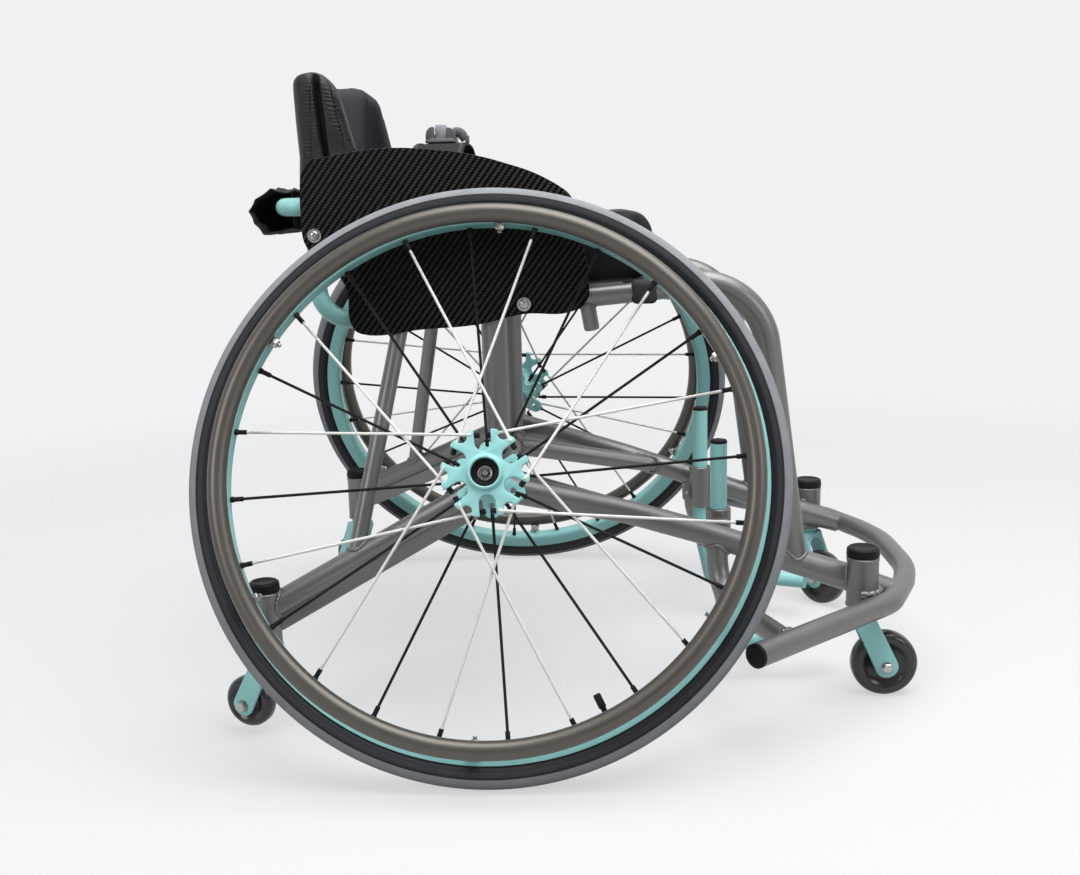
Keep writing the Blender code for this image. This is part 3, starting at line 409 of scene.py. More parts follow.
def axle_point(along, side=1):
    return Vector((0.0, side * (WHEEL_TRACK + along * cos(CAMBER)), HUB_HEIGHT + along * sin(CAMBER)))


# Finishes


class Wire:
    """A node's output, on which sums are written as Python."""

    def __init__(self, graph, socket):
        self.graph = graph
        self.socket = socket

    def maths(self, operation, *values):
        return self.graph.node("Math", {"operation": operation}, (self, *values))

    def __add__(self, other):
        return self.maths("ADD", other)

    def __sub__(self, other):
        return self.maths("SUBTRACT", other)

    def __rsub__(self, other):
        return self.graph.node("Math", {"operation": "SUBTRACT"}, (other, self))

    def __mul__(self, other):
        return self.maths("MULTIPLY", other)

    def __truediv__(self, other):
        return self.maths("DIVIDE", other)

    def __pow__(self, other):
        return self.maths("POWER", other)

    __radd__ = __add__
    __rmul__ = __mul__

    def __abs__(self):
        return self.maths("ABSOLUTE")

    def sine(self):
        return self.maths("SINE")

    def above(self, edge):
        return self.maths("GREATER_THAN", edge)

    def step_up(self, start, end):
        """0 below start and 1 above end, with a soft rise between."""
        settings = {"interpolation_type": "SMOOTHSTEP"}
        return self.graph.node("MapRange", settings, {0: self, 1: start, 2: end, 3: 0.0, 4: 1.0})


class Graph:
    """A node tree, with one method that adds any node to it."""

    def __init__(self, tree):
        self.tree = tree

    def plug(self, socket, value):
        if isinstance(value, Wire):
            self.tree.links.new(value.socket, socket)
        else:
            socket.default_value = value

    def node(self, kind, settings=None, values=(), out=0):
        made = self.tree.nodes.new("ShaderNode" + kind)
        for key, value in (settings or {}).items():
            setattr(made, key, value)
        items = values.items() if isinstance(values, dict) else enumerate(values)
        for label, value in items:
            self.plug(made.inputs[label], value)
        return Wire(self, made.outputs[out])

    def place(self, middle=(0, 0, 0), turn=(0, 0, 0)):
        """Object coordinates about a middle point, turned by Euler angles."""
        where = self.node("TexCoord", out="Object")
        values = {"Vector": where, "Location": middle, "Rotation": turn}
        return self.node("Mapping", {"vector_type": "TEXTURE"}, values)

    def axes(self, vector):
        return [self.node("SeparateXYZ", None, [vector], out=k) for k in range(3)]

    def vector(self, *parts):
        return self.node("CombineXYZ", None, parts)

    def noise(self, vector, scale, detail=3.0, rough=0.5):
        values = {"Vector": vector, "Scale": scale, "Detail": detail, "Roughness": rough}
        return self.node("TexNoise", None, values)

    def cells(self, vector, scale):
        return self.node("TexVoronoi", None, {"Vector": vector, "Scale": scale})

    def mix(self, share, first, second):
        """Between two colours."""
        first, second = ((*c, 1.0) if isinstance(c, tuple) else c for c in (first, second))
        return self.node("Mix", {"data_type": "RGBA"}, {0: share, 6: first, 7: second}, out=2)

    def rays(self, label):
        """1 for one kind of ray."""
        return self.node("LightPath", out=label)


class Finish(Graph):
    """A material with a principled shader."""

    def __init__(self, name, colour, roughness, metallic=0.0, **fixed):
        self.material = bpy.data.materials.new(name)
        self.material.use_nodes = True
        super().__init__(self.material.node_tree)
        self.shader = self.tree.nodes["Principled BSDF"]
        self.set("Base Color", (*colour, 1.0))
        self.set("Roughness", roughness)
        self.set("Metallic", metallic)
        for label, value in fixed.items():
            self.set(label.replace("_", " "), value)

    def set(self, label, value):
        self.plug(self.shader.inputs[label], value)

    def relief(self, height, depth, strength=1.0):
        """Drive the surface normal from a height of 0 to 1 that is depth metres deep."""
        values = {"Height": height, "Distance": depth, "Strength": strength}
        self.set("Normal", self.node("Bump", None, values))
        return self.material


def surface(
    name, colour, roughness, metallic=0.0, dust=None, tones=None, worn=None, grain=None, relief=None, **fixed
):
    """A finish of one dust pattern, which tints and roughens it, and one fine grain.

    dust and grain are (noise scale, detail), tones two colours, worn the lowest roughness and its
    span, and relief the grain's depth and strength. Without a grain, the dust gives the relief.
    """
    finish = Finish(name, colour, roughness, metallic, **fixed)
    here = finish.place()
    pattern = finish.noise(here, *dust) if dust else None
    if tones:
        finish.set("Base Color", finish.mix(pattern, *tones))
    if worn:
        finish.set("Roughness", worn[0] + worn[1] * pattern)
    if relief:
        finish.relief(finish.noise(here, *grain) if grain else pattern, *relief)
    return finish.material


def mint_paint():
    """Satin powder coat with a faint orange peel and slight chalking."""
    finish = Finish("mint_paint", (0.292, 0.633, 0.620), 0.38, Coat_Weight=0.2, Coat_Roughness=0.3)
    here = finish.place()
    drift = finish.noise(here, 14.0, 2.0)
    finish.set("Base Color", finish.mix(drift, (0.270, 0.605, 0.590), (0.312, 0.660, 0.650)))
    finish.set("Roughness", 0.28 + 0.16 * finish.noise(here, 60.0, 4.0))
    return finish.relief(finish.noise(here, 900.0, 2.0), 0.00012, 0.35)


def frame_grey():
    """Sealed grey alloy with fine scratches and handling marks."""
    finish = Finish("satin_grey", (0.19, 0.19, 0.19), 0.34, 0.74)
    here = finish.place()
    drift = finish.noise(here, 9.0, 3.0)
    grain = finish.noise(here, 1300.0, 3.0)
    speckle = finish.noise(here, 520.0, 3.0, 0.7)
    share = 0.5 * drift + 0.8 * speckle - 0.15
    finish.set("Base Color", finish.mix(share, (0.150, 0.149, 0.148), (0.245, 0.243, 0.240)))
    finish.set("Roughness", 0.30 + 0.14 * finish.noise(here, 45.0, 5.0) + 0.06 * grain)
    return finish.relief(grain, 0.00013, 0.6)


def wheel_axes(finish, side):
    """x, y and z in the wheel's own frame, z along its axle, with the angle and distance round it."""
    middle, turn, _ = (shift(AXLE_X, 0, 0) @ wheel_frame(side)).decompose()
    x, y, z = finish.axes(finish.place(middle, turn.to_euler()))
    return z, y.maths("ARCTAN2", x), (x * x + y * y) ** 0.5


def handrim_bronze(name, side):
    """Anodised brown-grey tube, polished and scuffed round the wheel by gloves."""
    finish = Finish(f"{name}_bronze_grip", (0.15, 0.13, 0.11), 0.36, 0.72)
    z, around, ring = wheel_axes(finish, side)
    scuff = finish.noise(finish.vector(around * 3.0, ring * 900.0, z * 900.0), 2.0, 5.0, 0.65)
    finish.set("Base Color", finish.mix(scuff, (0.086, 0.076, 0.066), (0.152, 0.138, 0.122)))
    finish.set("Roughness", 0.30 + 0.22 * scuff)
    return finish.relief(scuff, 0.00006, 0.4)


def tyre_rubber(name, side):
    """Grey dusty tread with a fine file pattern, over dark sidewalls with a serrated band."""
    finish = Finish(f"{name}_tyre_rubber", (0.02, 0.02, 0.024), 0.75, Specular_IOR_Level=0.25)
    z, around, ring = wheel_axes(finish, side)
    dust = finish.noise(finish.place(), 55.0, 4.0)
    tread = ring.step_up(0.2932, 0.2938)
    arc = around * (TYRE_RADIUS / 0.0024)
    crossed = ((arc + z * 420.0) * pi).sine() * ((arc - z * 420.0) * pi).sine()
    band = ring.step_up(0.2862, 0.2866) * (1.0 - ring.step_up(0.2908, 0.2912))
    grooves = ((ring - 0.2868) * (2200.0 * pi)).sine().step_up(0.2, 0.8)
    teeth = (around * 900.0 + ring * 5200.0).sine()
    wall = finish.mix(dust, (0.013, 0.013, 0.017), (0.024, 0.024, 0.029))
    wall = finish.mix(band * grooves * (0.35 + 0.35 * teeth.above(0.1)), wall, (0.120, 0.121, 0.132))
    worn = finish.mix(dust, (0.200, 0.211, 0.230), (0.295, 0.310, 0.332))
    finish.set("Base Color", finish.mix(tread, wall, worn))
    finish.set("Roughness", 0.62 + 0.22 * tread + 0.08 * dust)
    ridge = abs(ring - 0.2928).step_up(0.0007, 0.0001)
    height = tread * (0.6 + 0.4 * crossed) + band * teeth * 0.35 - ridge * 0.5
    return finish.relief(height, 0.00022, 0.8)


def ribs(axis, pitch):
    """Rounded ribs, 1 on each crest, that repeat along an axis."""
    turns = axis / pitch
    return (turns.maths("FRACT") * pi).sine()


def carbon_twill():
    """Lacquered twill: ropes climb forward, each a stack of short slanted floats. Their colour is a painted sheen,
    shaded with each float's roundness, with painted shade, near black, between them.
    """
    finish = Finish("carbon_twill", (0.006, 0.006, 0.006), 0.34, Specular_IOR_Level=0.045)
    here = finish.place()
    x, _, z = finish.axes(here)
    rope_lean, float_lean = radians(37.0), radians(78.0)
    raised = ribs(x * cos(rope_lean) - z * sin(rope_lean), 0.00582).step_up(0.50, 0.94)
    strand = ribs(x * cos(float_lean) + z * sin(float_lean), 0.00286)
    height = raised * (0.20 + 0.80 * strand**1.5)
    fibre = finish.noise(finish.vector(x * 0.4, 0.0, z * 2.0), 1500.0, 2.0)
    # The ropes' colour is a painted sheen, lighter on each float's round crest; the near black between them is
    # painted shade.
    rope_sheen = finish.mix(finish.noise(here, 210.0, 2.0), (0.0340, 0.0325, 0.0335), (0.0790, 0.0760, 0.0780))
    face = finish.mix(height * (0.6 + 0.6 * fibre), (0.0016, 0.0016, 0.0017), rope_sheen)
    # The plate's edges are painted light grey: partly the raw cut edge's colour, partly a painted highlight where
    # the edge catches light.
    _, facing, _ = finish.axes(finish.node("NewGeometry", out="Normal"))
    rim = 1.0 - abs(facing).step_up(0.35, 0.75)
    finish.set("Base Color", finish.mix(rim, face, (0.260, 0.260, 0.262)))
    finish.set("Roughness", 0.30 + 0.14 * fibre + 0.10 * (1.0 - raised))
    return finish.relief(height, 0.00022, 0.7)


def leather():
    """Soft black synthetic leather: fine pebbles, with long creases that run across the pads."""
    finish = Finish("black_leather", (0.010, 0.010, 0.012), 0.46, Specular_IOR_Level=0.11)
    here = finish.place()
    pebble = finish.cells(here, 950.0)
    x, y, z = finish.axes(here)
    crease = finish.noise(finish.vector(x * 0.45, y * 0.45, z * 1.7), 95.0, 4.0, 0.6)
    worn = finish.noise(here, 22.0, 3.0)
    finish.set("Base Color", finish.mix(worn, (0.006, 0.006, 0.007), (0.015, 0.015, 0.018)))
    finish.set("Roughness", 0.36 + 0.18 * worn + 0.10 * pebble)
    return finish.relief(0.10 * pebble + 0.9 * crease, 0.0016, 0.75)


def sling_leather():
    """Creased leather outside, and a smooth matt lining inside the back and its wings."""
    finish = Finish("sling_leather", (0.014, 0.014, 0.017), 0.44, Specular_IOR_Level=0.30)
    here = finish.place()
    x, y, z = finish.axes(here)
    lining = (1.0 - abs(y).step_up(0.1535, 0.1560)) * x.step_up(AXLE_X - 0.1945, AXLE_X - 0.1915)
    pebble = finish.cells(here, 950.0)
    wrinkle = finish.noise(finish.vector(x * 0.5, y * 0.5, z * 2.4), 150.0, 4.0, 0.62)
    worn = finish.noise(here, 26.0, 3.0)
    hide = finish.mix(worn, (0.010, 0.0103, 0.0125), (0.0225, 0.0230, 0.0270))
    cloth = finish.mix(worn, (0.011, 0.012, 0.016), (0.017, 0.018, 0.024))
    finish.set("Base Color", finish.mix(lining, hide, cloth))
    finish.set("Roughness", 0.38 + 0.16 * worn + 0.08 * pebble + 0.24 * lining)
    return finish.relief((0.12 * pebble + 0.88 * wrinkle) * (1.0 - 0.8 * lining), 0.0013, 0.8)


def woven(name, tone, pitch):
    """Plain weave in two directions, with the thread's own roundness. Raised cells are painted paler and sunken
    cells darker, as painted shade of the weave.
    """
    finish = Finish(name, tone, 0.82, Specular_IOR_Level=0.2)
    here = finish.place()
    x, y, z = finish.axes(here)
    thread = (x / pitch * pi).sine() * ((y + z) / pitch * pi).sine()
    fuzz = finish.noise(here, 500.0, 3.0)
    painted_crest_light = tuple(channel * 2.0 for channel in tone)
    # The colour is painted paler where the weave is raised and darker where it sinks: painted light and shade of its
    # relief.
    finish.set("Base Color", finish.mix(0.5 + 0.35 * thread + 0.15 * fuzz, tone, painted_crest_light))
    return finish.relief(0.6 + 0.3 * thread + 0.2 * fuzz, pitch * 0.45, 0.8)


def mix_finishes():
    """Fill FINISHES. Each wheel has its own rubber and bronze, since their patterns follow its axle."""
    made = {
        "mint": (mint_paint(), "mint_paint"),
        "grey": (frame_grey(), "satin_grey"),
        "carbon": (carbon_twill(), "carbon_twill"),
        "leather": (leather(), "black_leather"),
        "sling": (sling_leather(), "black_leather"),
        "nylon": (woven("black_nylon", (0.030, 0.030, 0.033), 0.0006), "black_fabric"),
        "strap": (woven("strap_webbing", (0.075, 0.075, 0.079), 0.0011), "black_fabric"),
        "webbing": (woven("belt_webbing", (0.010, 0.010, 0.011), 0.0014), "black_fabric"),
    }
    for name, side in SIDES:
        made[f"{name} rubber"] = tyre_rubber(name, side), "tyre_rubber"
        made[f"{name} bronze"] = handrim_bronze(name, side), "bronze_grip"
    made["plastic"] = surface(
        "black_plastic", (0.010, 0.010, 0.011), 0.38, dust=(70.0, 4.0), worn=(0.36, 0.20), grain=(1100.0, 2.0),
        tones=((0.006, 0.006, 0.007), (0.017, 0.017, 0.019)), relief=(0.00008, 0.5), Specular_IOR_Level=0.12,
    ), "black_plastic"  # fmt: skip
    made["white"] = surface(
        "white_spoke", (0.72, 0.72, 0.70), 0.35, dust=(90.0, 3.0), grain=(700.0, 2.0),
        tones=((0.66, 0.66, 0.63), (0.82, 0.82, 0.80)), relief=(0.00005, 0.4),
    ), None  # fmt: skip
    made["steel"] = surface(
        "steel", (0.42, 0.41, 0.40), 0.26, 1.0, dust=(350.0, 4.0), worn=(0.18, 0.20),
        tones=((0.33, 0.32, 0.31), (0.56, 0.55, 0.53)), relief=(0.00006, 0.4),
    ), "steel"  # fmt: skip
    made["caster"] = surface(
        "caster_gloss", (0.009, 0.009, 0.010), 0.2, dust=(90.0, 4.0), worn=(0.12, 0.22), grain=(800.0, 2.0),
        tones=((0.020, 0.020, 0.021), (0.048, 0.047, 0.050)), relief=(0.00006, 0.4), Specular_IOR_Level=0.45,
    ), "black_plastic"  # fmt: skip
    made["thread"] = surface(
        "stitch_thread", (0.006, 0.006, 0.007), 0.7,
        grain=(1500.0, 2.0), relief=(0.0002, 0.7), Specular_IOR_Level=0.1,
    ), "black_fabric"  # fmt: skip
    # The piping's colour is painted lighter than the leather: a painted highlight along the satin edge.
    made["piping"] = surface(
        "piping_painted_highlight", (0.060, 0.060, 0.064), 0.32, grain=(700.0, 3.0), relief=(0.0002, 0.5)
    ), "black_leather"  # fmt: skip
    made["moulding"] = surface(
        "buckle_moulding", (0.110, 0.112, 0.118), 0.45, Specular_IOR_Level=0.3
    ), "black_plastic"  # fmt: skip
    made["silver"] = surface(
        "buckle_grey", (0.42, 0.43, 0.48), 0.35, 0.1, dust=(120.0, 4.0), worn=(0.28, 0.2), relief=(0.0001, 0.4)
    ), "satin_grey"  # fmt: skip
    FINISHES.update(made)


# Wheels


def on_both_wheels(piece, label, look, nodes=(), smooth=35.0):
    """Stand one wheel piece in each wheel. A look with a star is the side's own."""
    for name, side in SIDES:
        solids = [f"{name}_{node}" for node in nodes]
        own = look.replace("*", name)
        put(twin(piece), f"{name}_{label}", own, solids, f"{name}_wheel", wheel_frame(side), smooth)
    bpy.data.objects.remove(piece)


def polar(radius, angle):
    return radius * cos(angle), radius * sin(angle)


def tyre():
    """Narrow slick tyre: round tread, a shoulder line, and beads between the rim's flanges."""
    middle = TYRE_RADIUS - TYRE_SECTION
    outline = []
    for step in range(37):
        angle = radians(-138 + step * 276 / 36)
        outline.append((middle + TYRE_SECTION * cos(angle), TYRE_SECTION * 0.99 * sin(angle)))
    return lathe(outline + rows(2, 281.1, 8.0, 279.0, 8.0, 279.0, -8.0, 281.1, -8.0), RING)


def rim():
    """Box-section rim with rounded hoop edges and two turned-in flanges."""
    half = rows(
        2, 262.5, 5.2, 262.7, 6.6, 263.4, 7.9, 264.7, 9.0, 266.6, 9.7, 269.0, 10.0, 279.4, 10.0,
        280.3, 9.8, 280.7, 9.2, 280.4, 8.6, 278.8, 8.4, 278.4, 7.6,
    )  # fmt: skip
    return lathe(half + [(radius, -height) for radius, height in reversed(half)], RING)


def handrim():
    swings = [k * pi / 12 for k in range(24)]
    tube = [(HANDRIM_RADIUS + HANDRIM_TUBE * cos(k), HANDRIM_OFFSET + HANDRIM_TUBE * sin(k)) for k in swings]
    return lathe(tube, RING)


def handrim_tabs():
    """Six folded brackets from the rim's wall to the push ring, each with a nut inside the rim."""
    shape = rows(2, 260.6, -4.6, 264.0, -7.0, 274.0, -8.0, 274.0, 8.0, 264.0, 7.0, 260.6, 4.6)
    bracket = plate(shape, 0.0101, 0.0123, 0.0006)
    fold = block((0.2602, -0.0046, 0.0020), (0.2616, 0.0046, 0.0122), 0.0005)
    post = block((0.2655, -0.0062, 0.0115), (0.2688, 0.0062, 0.0325), 0.0008)
    nut = turned(6, 0, 0, 4.4, 0, 5.0, 0.6, 5.0, 3.4, 4.4, 4.1, 0, 4.1)
    fastener = joined(nut, rod(0.0023, 0.0, 0.0075, 0.0005, 20), rod(0.0056, -0.0009, 0.0, 0.0002, 24))
    fastener = moved(fastener, shift(0.2601, 0, 0.0070) @ spin(-QUARTER, "Y"))
    piece = joined(bracket, fold, post, fastener)
    return repeated(piece, [spin(TAB_FIRST + k * ARM_STEP, "Z") for k in range(6)])


def swung(x, y, angle):
    return x * cos(angle) - y * sin(angle), x * sin(angle) + y * cos(angle)


def star_outline(phase):
    """Six forked arms, whose twelve blunt prongs are evenly spaced, with deep round notches between."""
    half = rows(
        2, 36.4, 1.6, 37.1, 3.3, 38.4, 4.6, 40.2, 5.4, 42.0, 6.0, 43.1, 6.8, 43.3, 7.8, 43.0, 9.6,
        42.4, 11.5, 41.5, 13.3, 40.6, 13.8, 39.2, 13.0, 34.5, 10.3,
    )  # fmt: skip
    arm = [(x, -y) for x, y in reversed(half)] + [(0.0362, 0.0)] + half
    points = []
    for k in range(6):
        axis = phase + k * ARM_STEP
        points += [swung(x, y, axis) for x, y in arm]
        for step in range(13):
            x, y = polar(0.0083, -QUARTER - step * pi / 12)
            points.append(swung(0.0298 + x, y, axis + ARM_STEP / 2))
    return points


def lobed_outline(phase):
    """The inner flange: six rounded lobes, which show through the notches of the outer one."""
    points = []
    for k in range(6):
        axis = phase + k * ARM_STEP
        x, y = polar(0.0305, axis)
        for step in range(-6, 7):
            out = polar(0.0090, axis + step * radians(17.0))
            points.append((x + out[0], y + out[1]))
        points += [polar(0.0225, axis + ARM_STEP / 2 + radians(turn)) for turn in (-6.0, 0.0, 6.0)]
    return points


def hub_shell():
    """Barrel with a raised boss round the axle recess, and its two forked flanges."""
    boss = turned(
        72, 9.2, -34.0, 15.8, -34.0, 16.5, -33.2, 16.5, -26.5, 20.0, -24.5, 20.0, -18.8, 16.5, -16.5, 16.5, 29.0,
        19.0, 32.5, 19.6, 34.5, 19.6, 39.8, 18.8, 40.4, 17.8, 41.4, 17.1, 43.0, 16.6, 44.1, 15.8, 44.6,
        14.9, 44.6, 14.2, 44.0, 13.9, 42.8, 13.9, 31.0, 9.2, 31.0,
    )  # fmt: skip
    outer = carved(plate(star_outline(STAR_PHASE), 0.0340, 0.0400), rod(0.0150, 0.02, 0.05, 0.0001, 48))
    lobes = plate(lobed_outline(STAR_PHASE + ARM_STEP / 2), -0.0240, -0.0190)
    inner = carved(lobes, rod(0.0120, -0.03, -0.01, 0.0001, 48))
    places = [spin(STAR_PHASE + (k + 0.5) * ARM_STEP, "Z") @ shift(0.0262, 0, 0) for k in range(6)]
    inner = carved(inner, repeated(rod(0.0030, -0.03, -0.01, 0.0001, 20), places))
    return joined(boss, rounded(outer, 0.0012, 3, 50.0), rounded(inner, 0.0009, 2, 50.0))


def recess_lining():
    """Black bearing seal inside the boss."""
    return turned(
        48, 13.7, 31.2, 13.7, 41.2, 13.1, 41.8, 12.2, 40.8, 11.6, 36.8, 11.2, 36.2, 9.4, 35.8, 8.6, 35.0, 8.6, 31.2
    )


def axle_head():
    """Turned axle head with a groove round the release button's bore."""
    return turned(
        48, 4.3, 32.2, 4.3, 35.4, 5.0, 35.6, 5.8, 35.0, 6.4, 35.2, 7.4, 35.0,
        8.0, 34.2, 8.0, 31.6, 6.2, 31.4, 4.3, 31.6,
    )  # fmt: skip


def release_button():
    return turned(32, 0, 29.0, 3.5, 29.0, 3.5, 37.6, 2.9, 38.2, 1.6, 38.2, 1.3, 37.4, 0, 37.4)


def spoke_places(outer):
    """Start and end of the twelve spokes of one flange. The two of each outer arm cross before its fork."""
    places = []
    for k in range(12):
        if outer:
            arm, lean = STAR_PHASE + (k // 2) * ARM_STEP, 1 if k % 2 else -1
            first, last = arm - lean * radians(14.5), arm + lean * radians(45.0)
            start = Vector((*polar(0.0396, first), 0.0370 + lean * 0.0021))
            end = Vector((*polar(SPOKE_REACH, last), 0.003))
        else:
            first = STAR_PHASE + k * ARM_STEP / 2
            start = Vector((*polar(0.0300, first), -0.0215))
            end = Vector((*polar(SPOKE_REACH, first), -0.003))
        places.append((start, end))
    return places


def spoke_set(outer):
    """Round spokes of one flange, each with a shaped elbow bead at the hub."""
    bars = []
    for start, end in spoke_places(outer):
        length = (end - start).length
        elbow = rows(2, 0, 0, 2.0, 0, 2.2, 1.5, 1.7, 4, 1.5, 8)
        bars.append(moved(lathe(elbow + [(0.0015, length), (0, length)], 12), between(start, end)))
    return joined(*bars)


def nipple_set():
    """Black nipples at the rim and short black sleeves at the hub, on all the spokes."""
    pieces = []
    for outer in (True, False):
        for start, end in spoke_places(outer):
            along = (end - start).normalized()
            nipple = turned(12, 0, 0, 2.2, 0, 2.5, 0.8, 2.5, 9.0, 3.1, 9.8, 3.1, 12.5, 0, 12.5)
            foot = end + (start - end).normalized() * 0.0125
            pieces.append(moved(nipple, between(foot, end)))
            collar = turned(12, 0, 0, 2.4, 0, 2.8, 0.6, 2.8, 6.6, 2.3, 7.2, 0, 7.2)
            sunk = Vector((0, 0, -0.0030 if outer else 0.0))
            place = start + along * (-0.0082 if outer else 0.0045) + sunk
            pieces.append(moved(collar, between(place, end + sunk)))
    return joined(*pieces)


def valve():
    """Threaded stem with a knurled dust cap, pointing at the hub."""
    seat = 0.2624
    steps = rows(2, 0, 0, 4.0, 0, 4.0, 1.5, 2.8, 2.0, 2.8, 9.5, 3.6, 10.0, 3.9, 11.0, 3.9, 22.5, 3.2, 24.3, 0, 24.5)
    stem = lathe([(radius, seat - depth) for radius, depth in steps], 24)
    return moved(stem, spin(VALVE_ANGLE, "Z") @ spin(QUARTER, "Y"))


def dress_wheels():
    on_both_wheels(tyre(), "road_tyre", "* rubber", ["tyre"])
    on_both_wheels(rim(), "deep_rim", "mint", ["rim"])
    on_both_wheels(handrim(), "push_ring", "* bronze", ["handrim"])
    on_both_wheels(handrim_tabs(), "push_ring_tabs", "steel")
    on_both_wheels(hub_shell(), "star_hub", "mint", ["hub"])
    on_both_wheels(recess_lining(), "hub_seal", "plastic")
    on_both_wheels(spoke_set(True), "white_spokes", "white")
    on_both_wheels(spoke_set(False), "black_spokes", "plastic")
    on_both_wheels(nipple_set(), "nipples", "plastic")
    on_both_wheels(valve(), "tyre_valve", "plastic", ["valve"])
    for name, side in SIDES:
        frame_here = wheel_frame(side)
        put(axle_head(), f"{name}_axle_head", "steel", [f"{name}_axle"], matrix=frame_here)
        solids = [f"{name}_release_button"]
        put(release_button(), f"{name}_axle_button", "steel", solids, f"{name}_button", frame_here)


# Welded frame. The paths are the left side's. A corner is x, y, z, tube radius and bend radius.

CROSSBAR_Z = 0.2368
FRONT_PIVOT = (0.404, 0.167)
REAR_PIVOT = (-0.2415, 0.267)
STRUT_TOP = (-0.100, 0.1517, 0.437)
SOCKET = axle_point(-0.112)
TAIL = axle_point(-0.116)
SIDE_TUBE = [(SOCKET.x + 0.004, SOCKET.y, SOCKET.z + 0.004, 0.0165, 0)] + rows(
    5,
    145, 165, 215, 13.2, 250,
    220, 154, 190, 13.5, 200,
    387.5, 148, 132.5, 15.5, 150,
    443, 152, 114, 14, 0,
)  # fmt: skip
TAIL_TUBE = [(TAIL.x - 0.004, TAIL.y - 0.012, TAIL.z + 0.010, 0.0125, 0), (*REAR_PIVOT, 0.141, 0.0125, 0)]
RAIL_PATH = rows(
    5,
    -130, 155.7, 434, 11, 0,
    185, 155.7, 460.5, 11, 100,
    287, 151, 481, 14, 78,
    331.5, 150, 152, 14, 0,
)  # fmt: skip
BRACE_PATH = rows(5, 4, 95, 240.8, 12.5, 0, 185, 152, 200, 11, 0)
POST_PATH = rows(5, 0, 150, 236.8, 14, 0, 0, 150, 447, 14, 0)
WING_PATH = rows(5, 243, 152.5, 182, 12, 0, 246, 158, 114, 12, 45, 300, 309.5, 114, 12, 0)
BUMPER_HALF = rows(
    5,
    480, 60, 114, 12.5, 200,
    464, 114, 114, 12.5, 60,
    432, 186, 114, 12.5, 60,
    263, 341, 114, 12.5, 0,
)  # fmt: skip
BOW_HALF = rows(
    5,
    -225, 155.7, 557, 9.75, 18,
    -190, 155.7, 557, 9.75, 14,
    -190, 155.7, 436, 9.75, 35,
    -130.3, 155.7, 434, 9.75, 0,
)  # fmt: skip
FOOT_LEG = rows(
    5,
    250, 111, 281, 9.75, 0,
    250, 111, 122, 9.75, 40,
    268, 111, 40, 9.75, 20,
    345, 111, 48, 9.75, 30,
    388, 88, 50, 9.75, 0,
)  # fmt: skip
BAR_LINE = ((0, 0, CROSSBAR_Z), (0, 1, CROSSBAR_Z), 0.0160)
BARREL_BORE = 0.0075
CANE_X = -0.1885
CANE_Y = 0.1535


def sleeve(pivot, radius, low, high):
    """A caster barrel with turned lips at both ends and an open bore."""
    lip = radius + 0.0006
    end = [(BARREL_BORE, 0.0), (lip - 0.0008, 0.0), (lip, 0.0008), (lip, 0.0035), (radius, 0.0045)]
    outline = [(across, low + up) for across, up in end] + [(across, high - up) for across, up in reversed(end)]
    return moved(lathe(outline, 48), shift(*pivot, 0))


def camber_socket():
    return turned(40, 7.2, -142, 13, -142, 13, -42, 14, -41, 14, -37.5, 13.2, -36.7, 7.2, -36.7)


def rear_web():
    """Flat web under the rear member, its edges rounded."""
    first, last = (Vector(corner[:3]) for corner in TAIL_TUBE)
    run = (last - first).normalized()
    up = (Vector((0, 0, 1)) - run * run.z).normalized()
    turn = Matrix((run, up.cross(run), up)).transposed().to_4x4()
    web = block((0.002, -0.003, -0.029), ((last - first).length - 0.004, 0.003, 0.0), 0.0022, 3)
    return moved(web, Matrix.Translation(first) @ turn)


def upright(place, radius):
    """A vertical tube through a point of the plan, as a weld takes it."""
    return (*place, 0.0), (*place, 1.0), radius


def barrel_bead():
    """Weld round the foot of the front barrel, where it stands against the bumper."""
    middle = Vector((*FRONT_PIVOT, BUMPER_Z + 0.0085))
    points = [middle + Vector((*polar(0.0188, radians(-35.0 + 4.0 * k)), 0)) for k in range(36)]
    return bead_line(list(zip(points, ripple(36, 0.0042, 0.13))))


def stub():
    """Short socket under the seat rail, leaning forward."""
    foot, top = Vector((0.1075, RAIL_Y, 0.4170)), Vector((0.1020, RAIL_Y, 0.4500))
    reach = (top - foot).length
    tube = lathe(rows(2, 0, 1.2, 5.2, 0.4, 7.6, 1.2, 8.5, 3.4) + [(0.0085, reach), (0, reach)], 36)
    return joined(moved(tube, between(foot, top)), weld((foot, top, 0.0085), leg(RAIL_PATH, 0, 0.011), 0.0013))


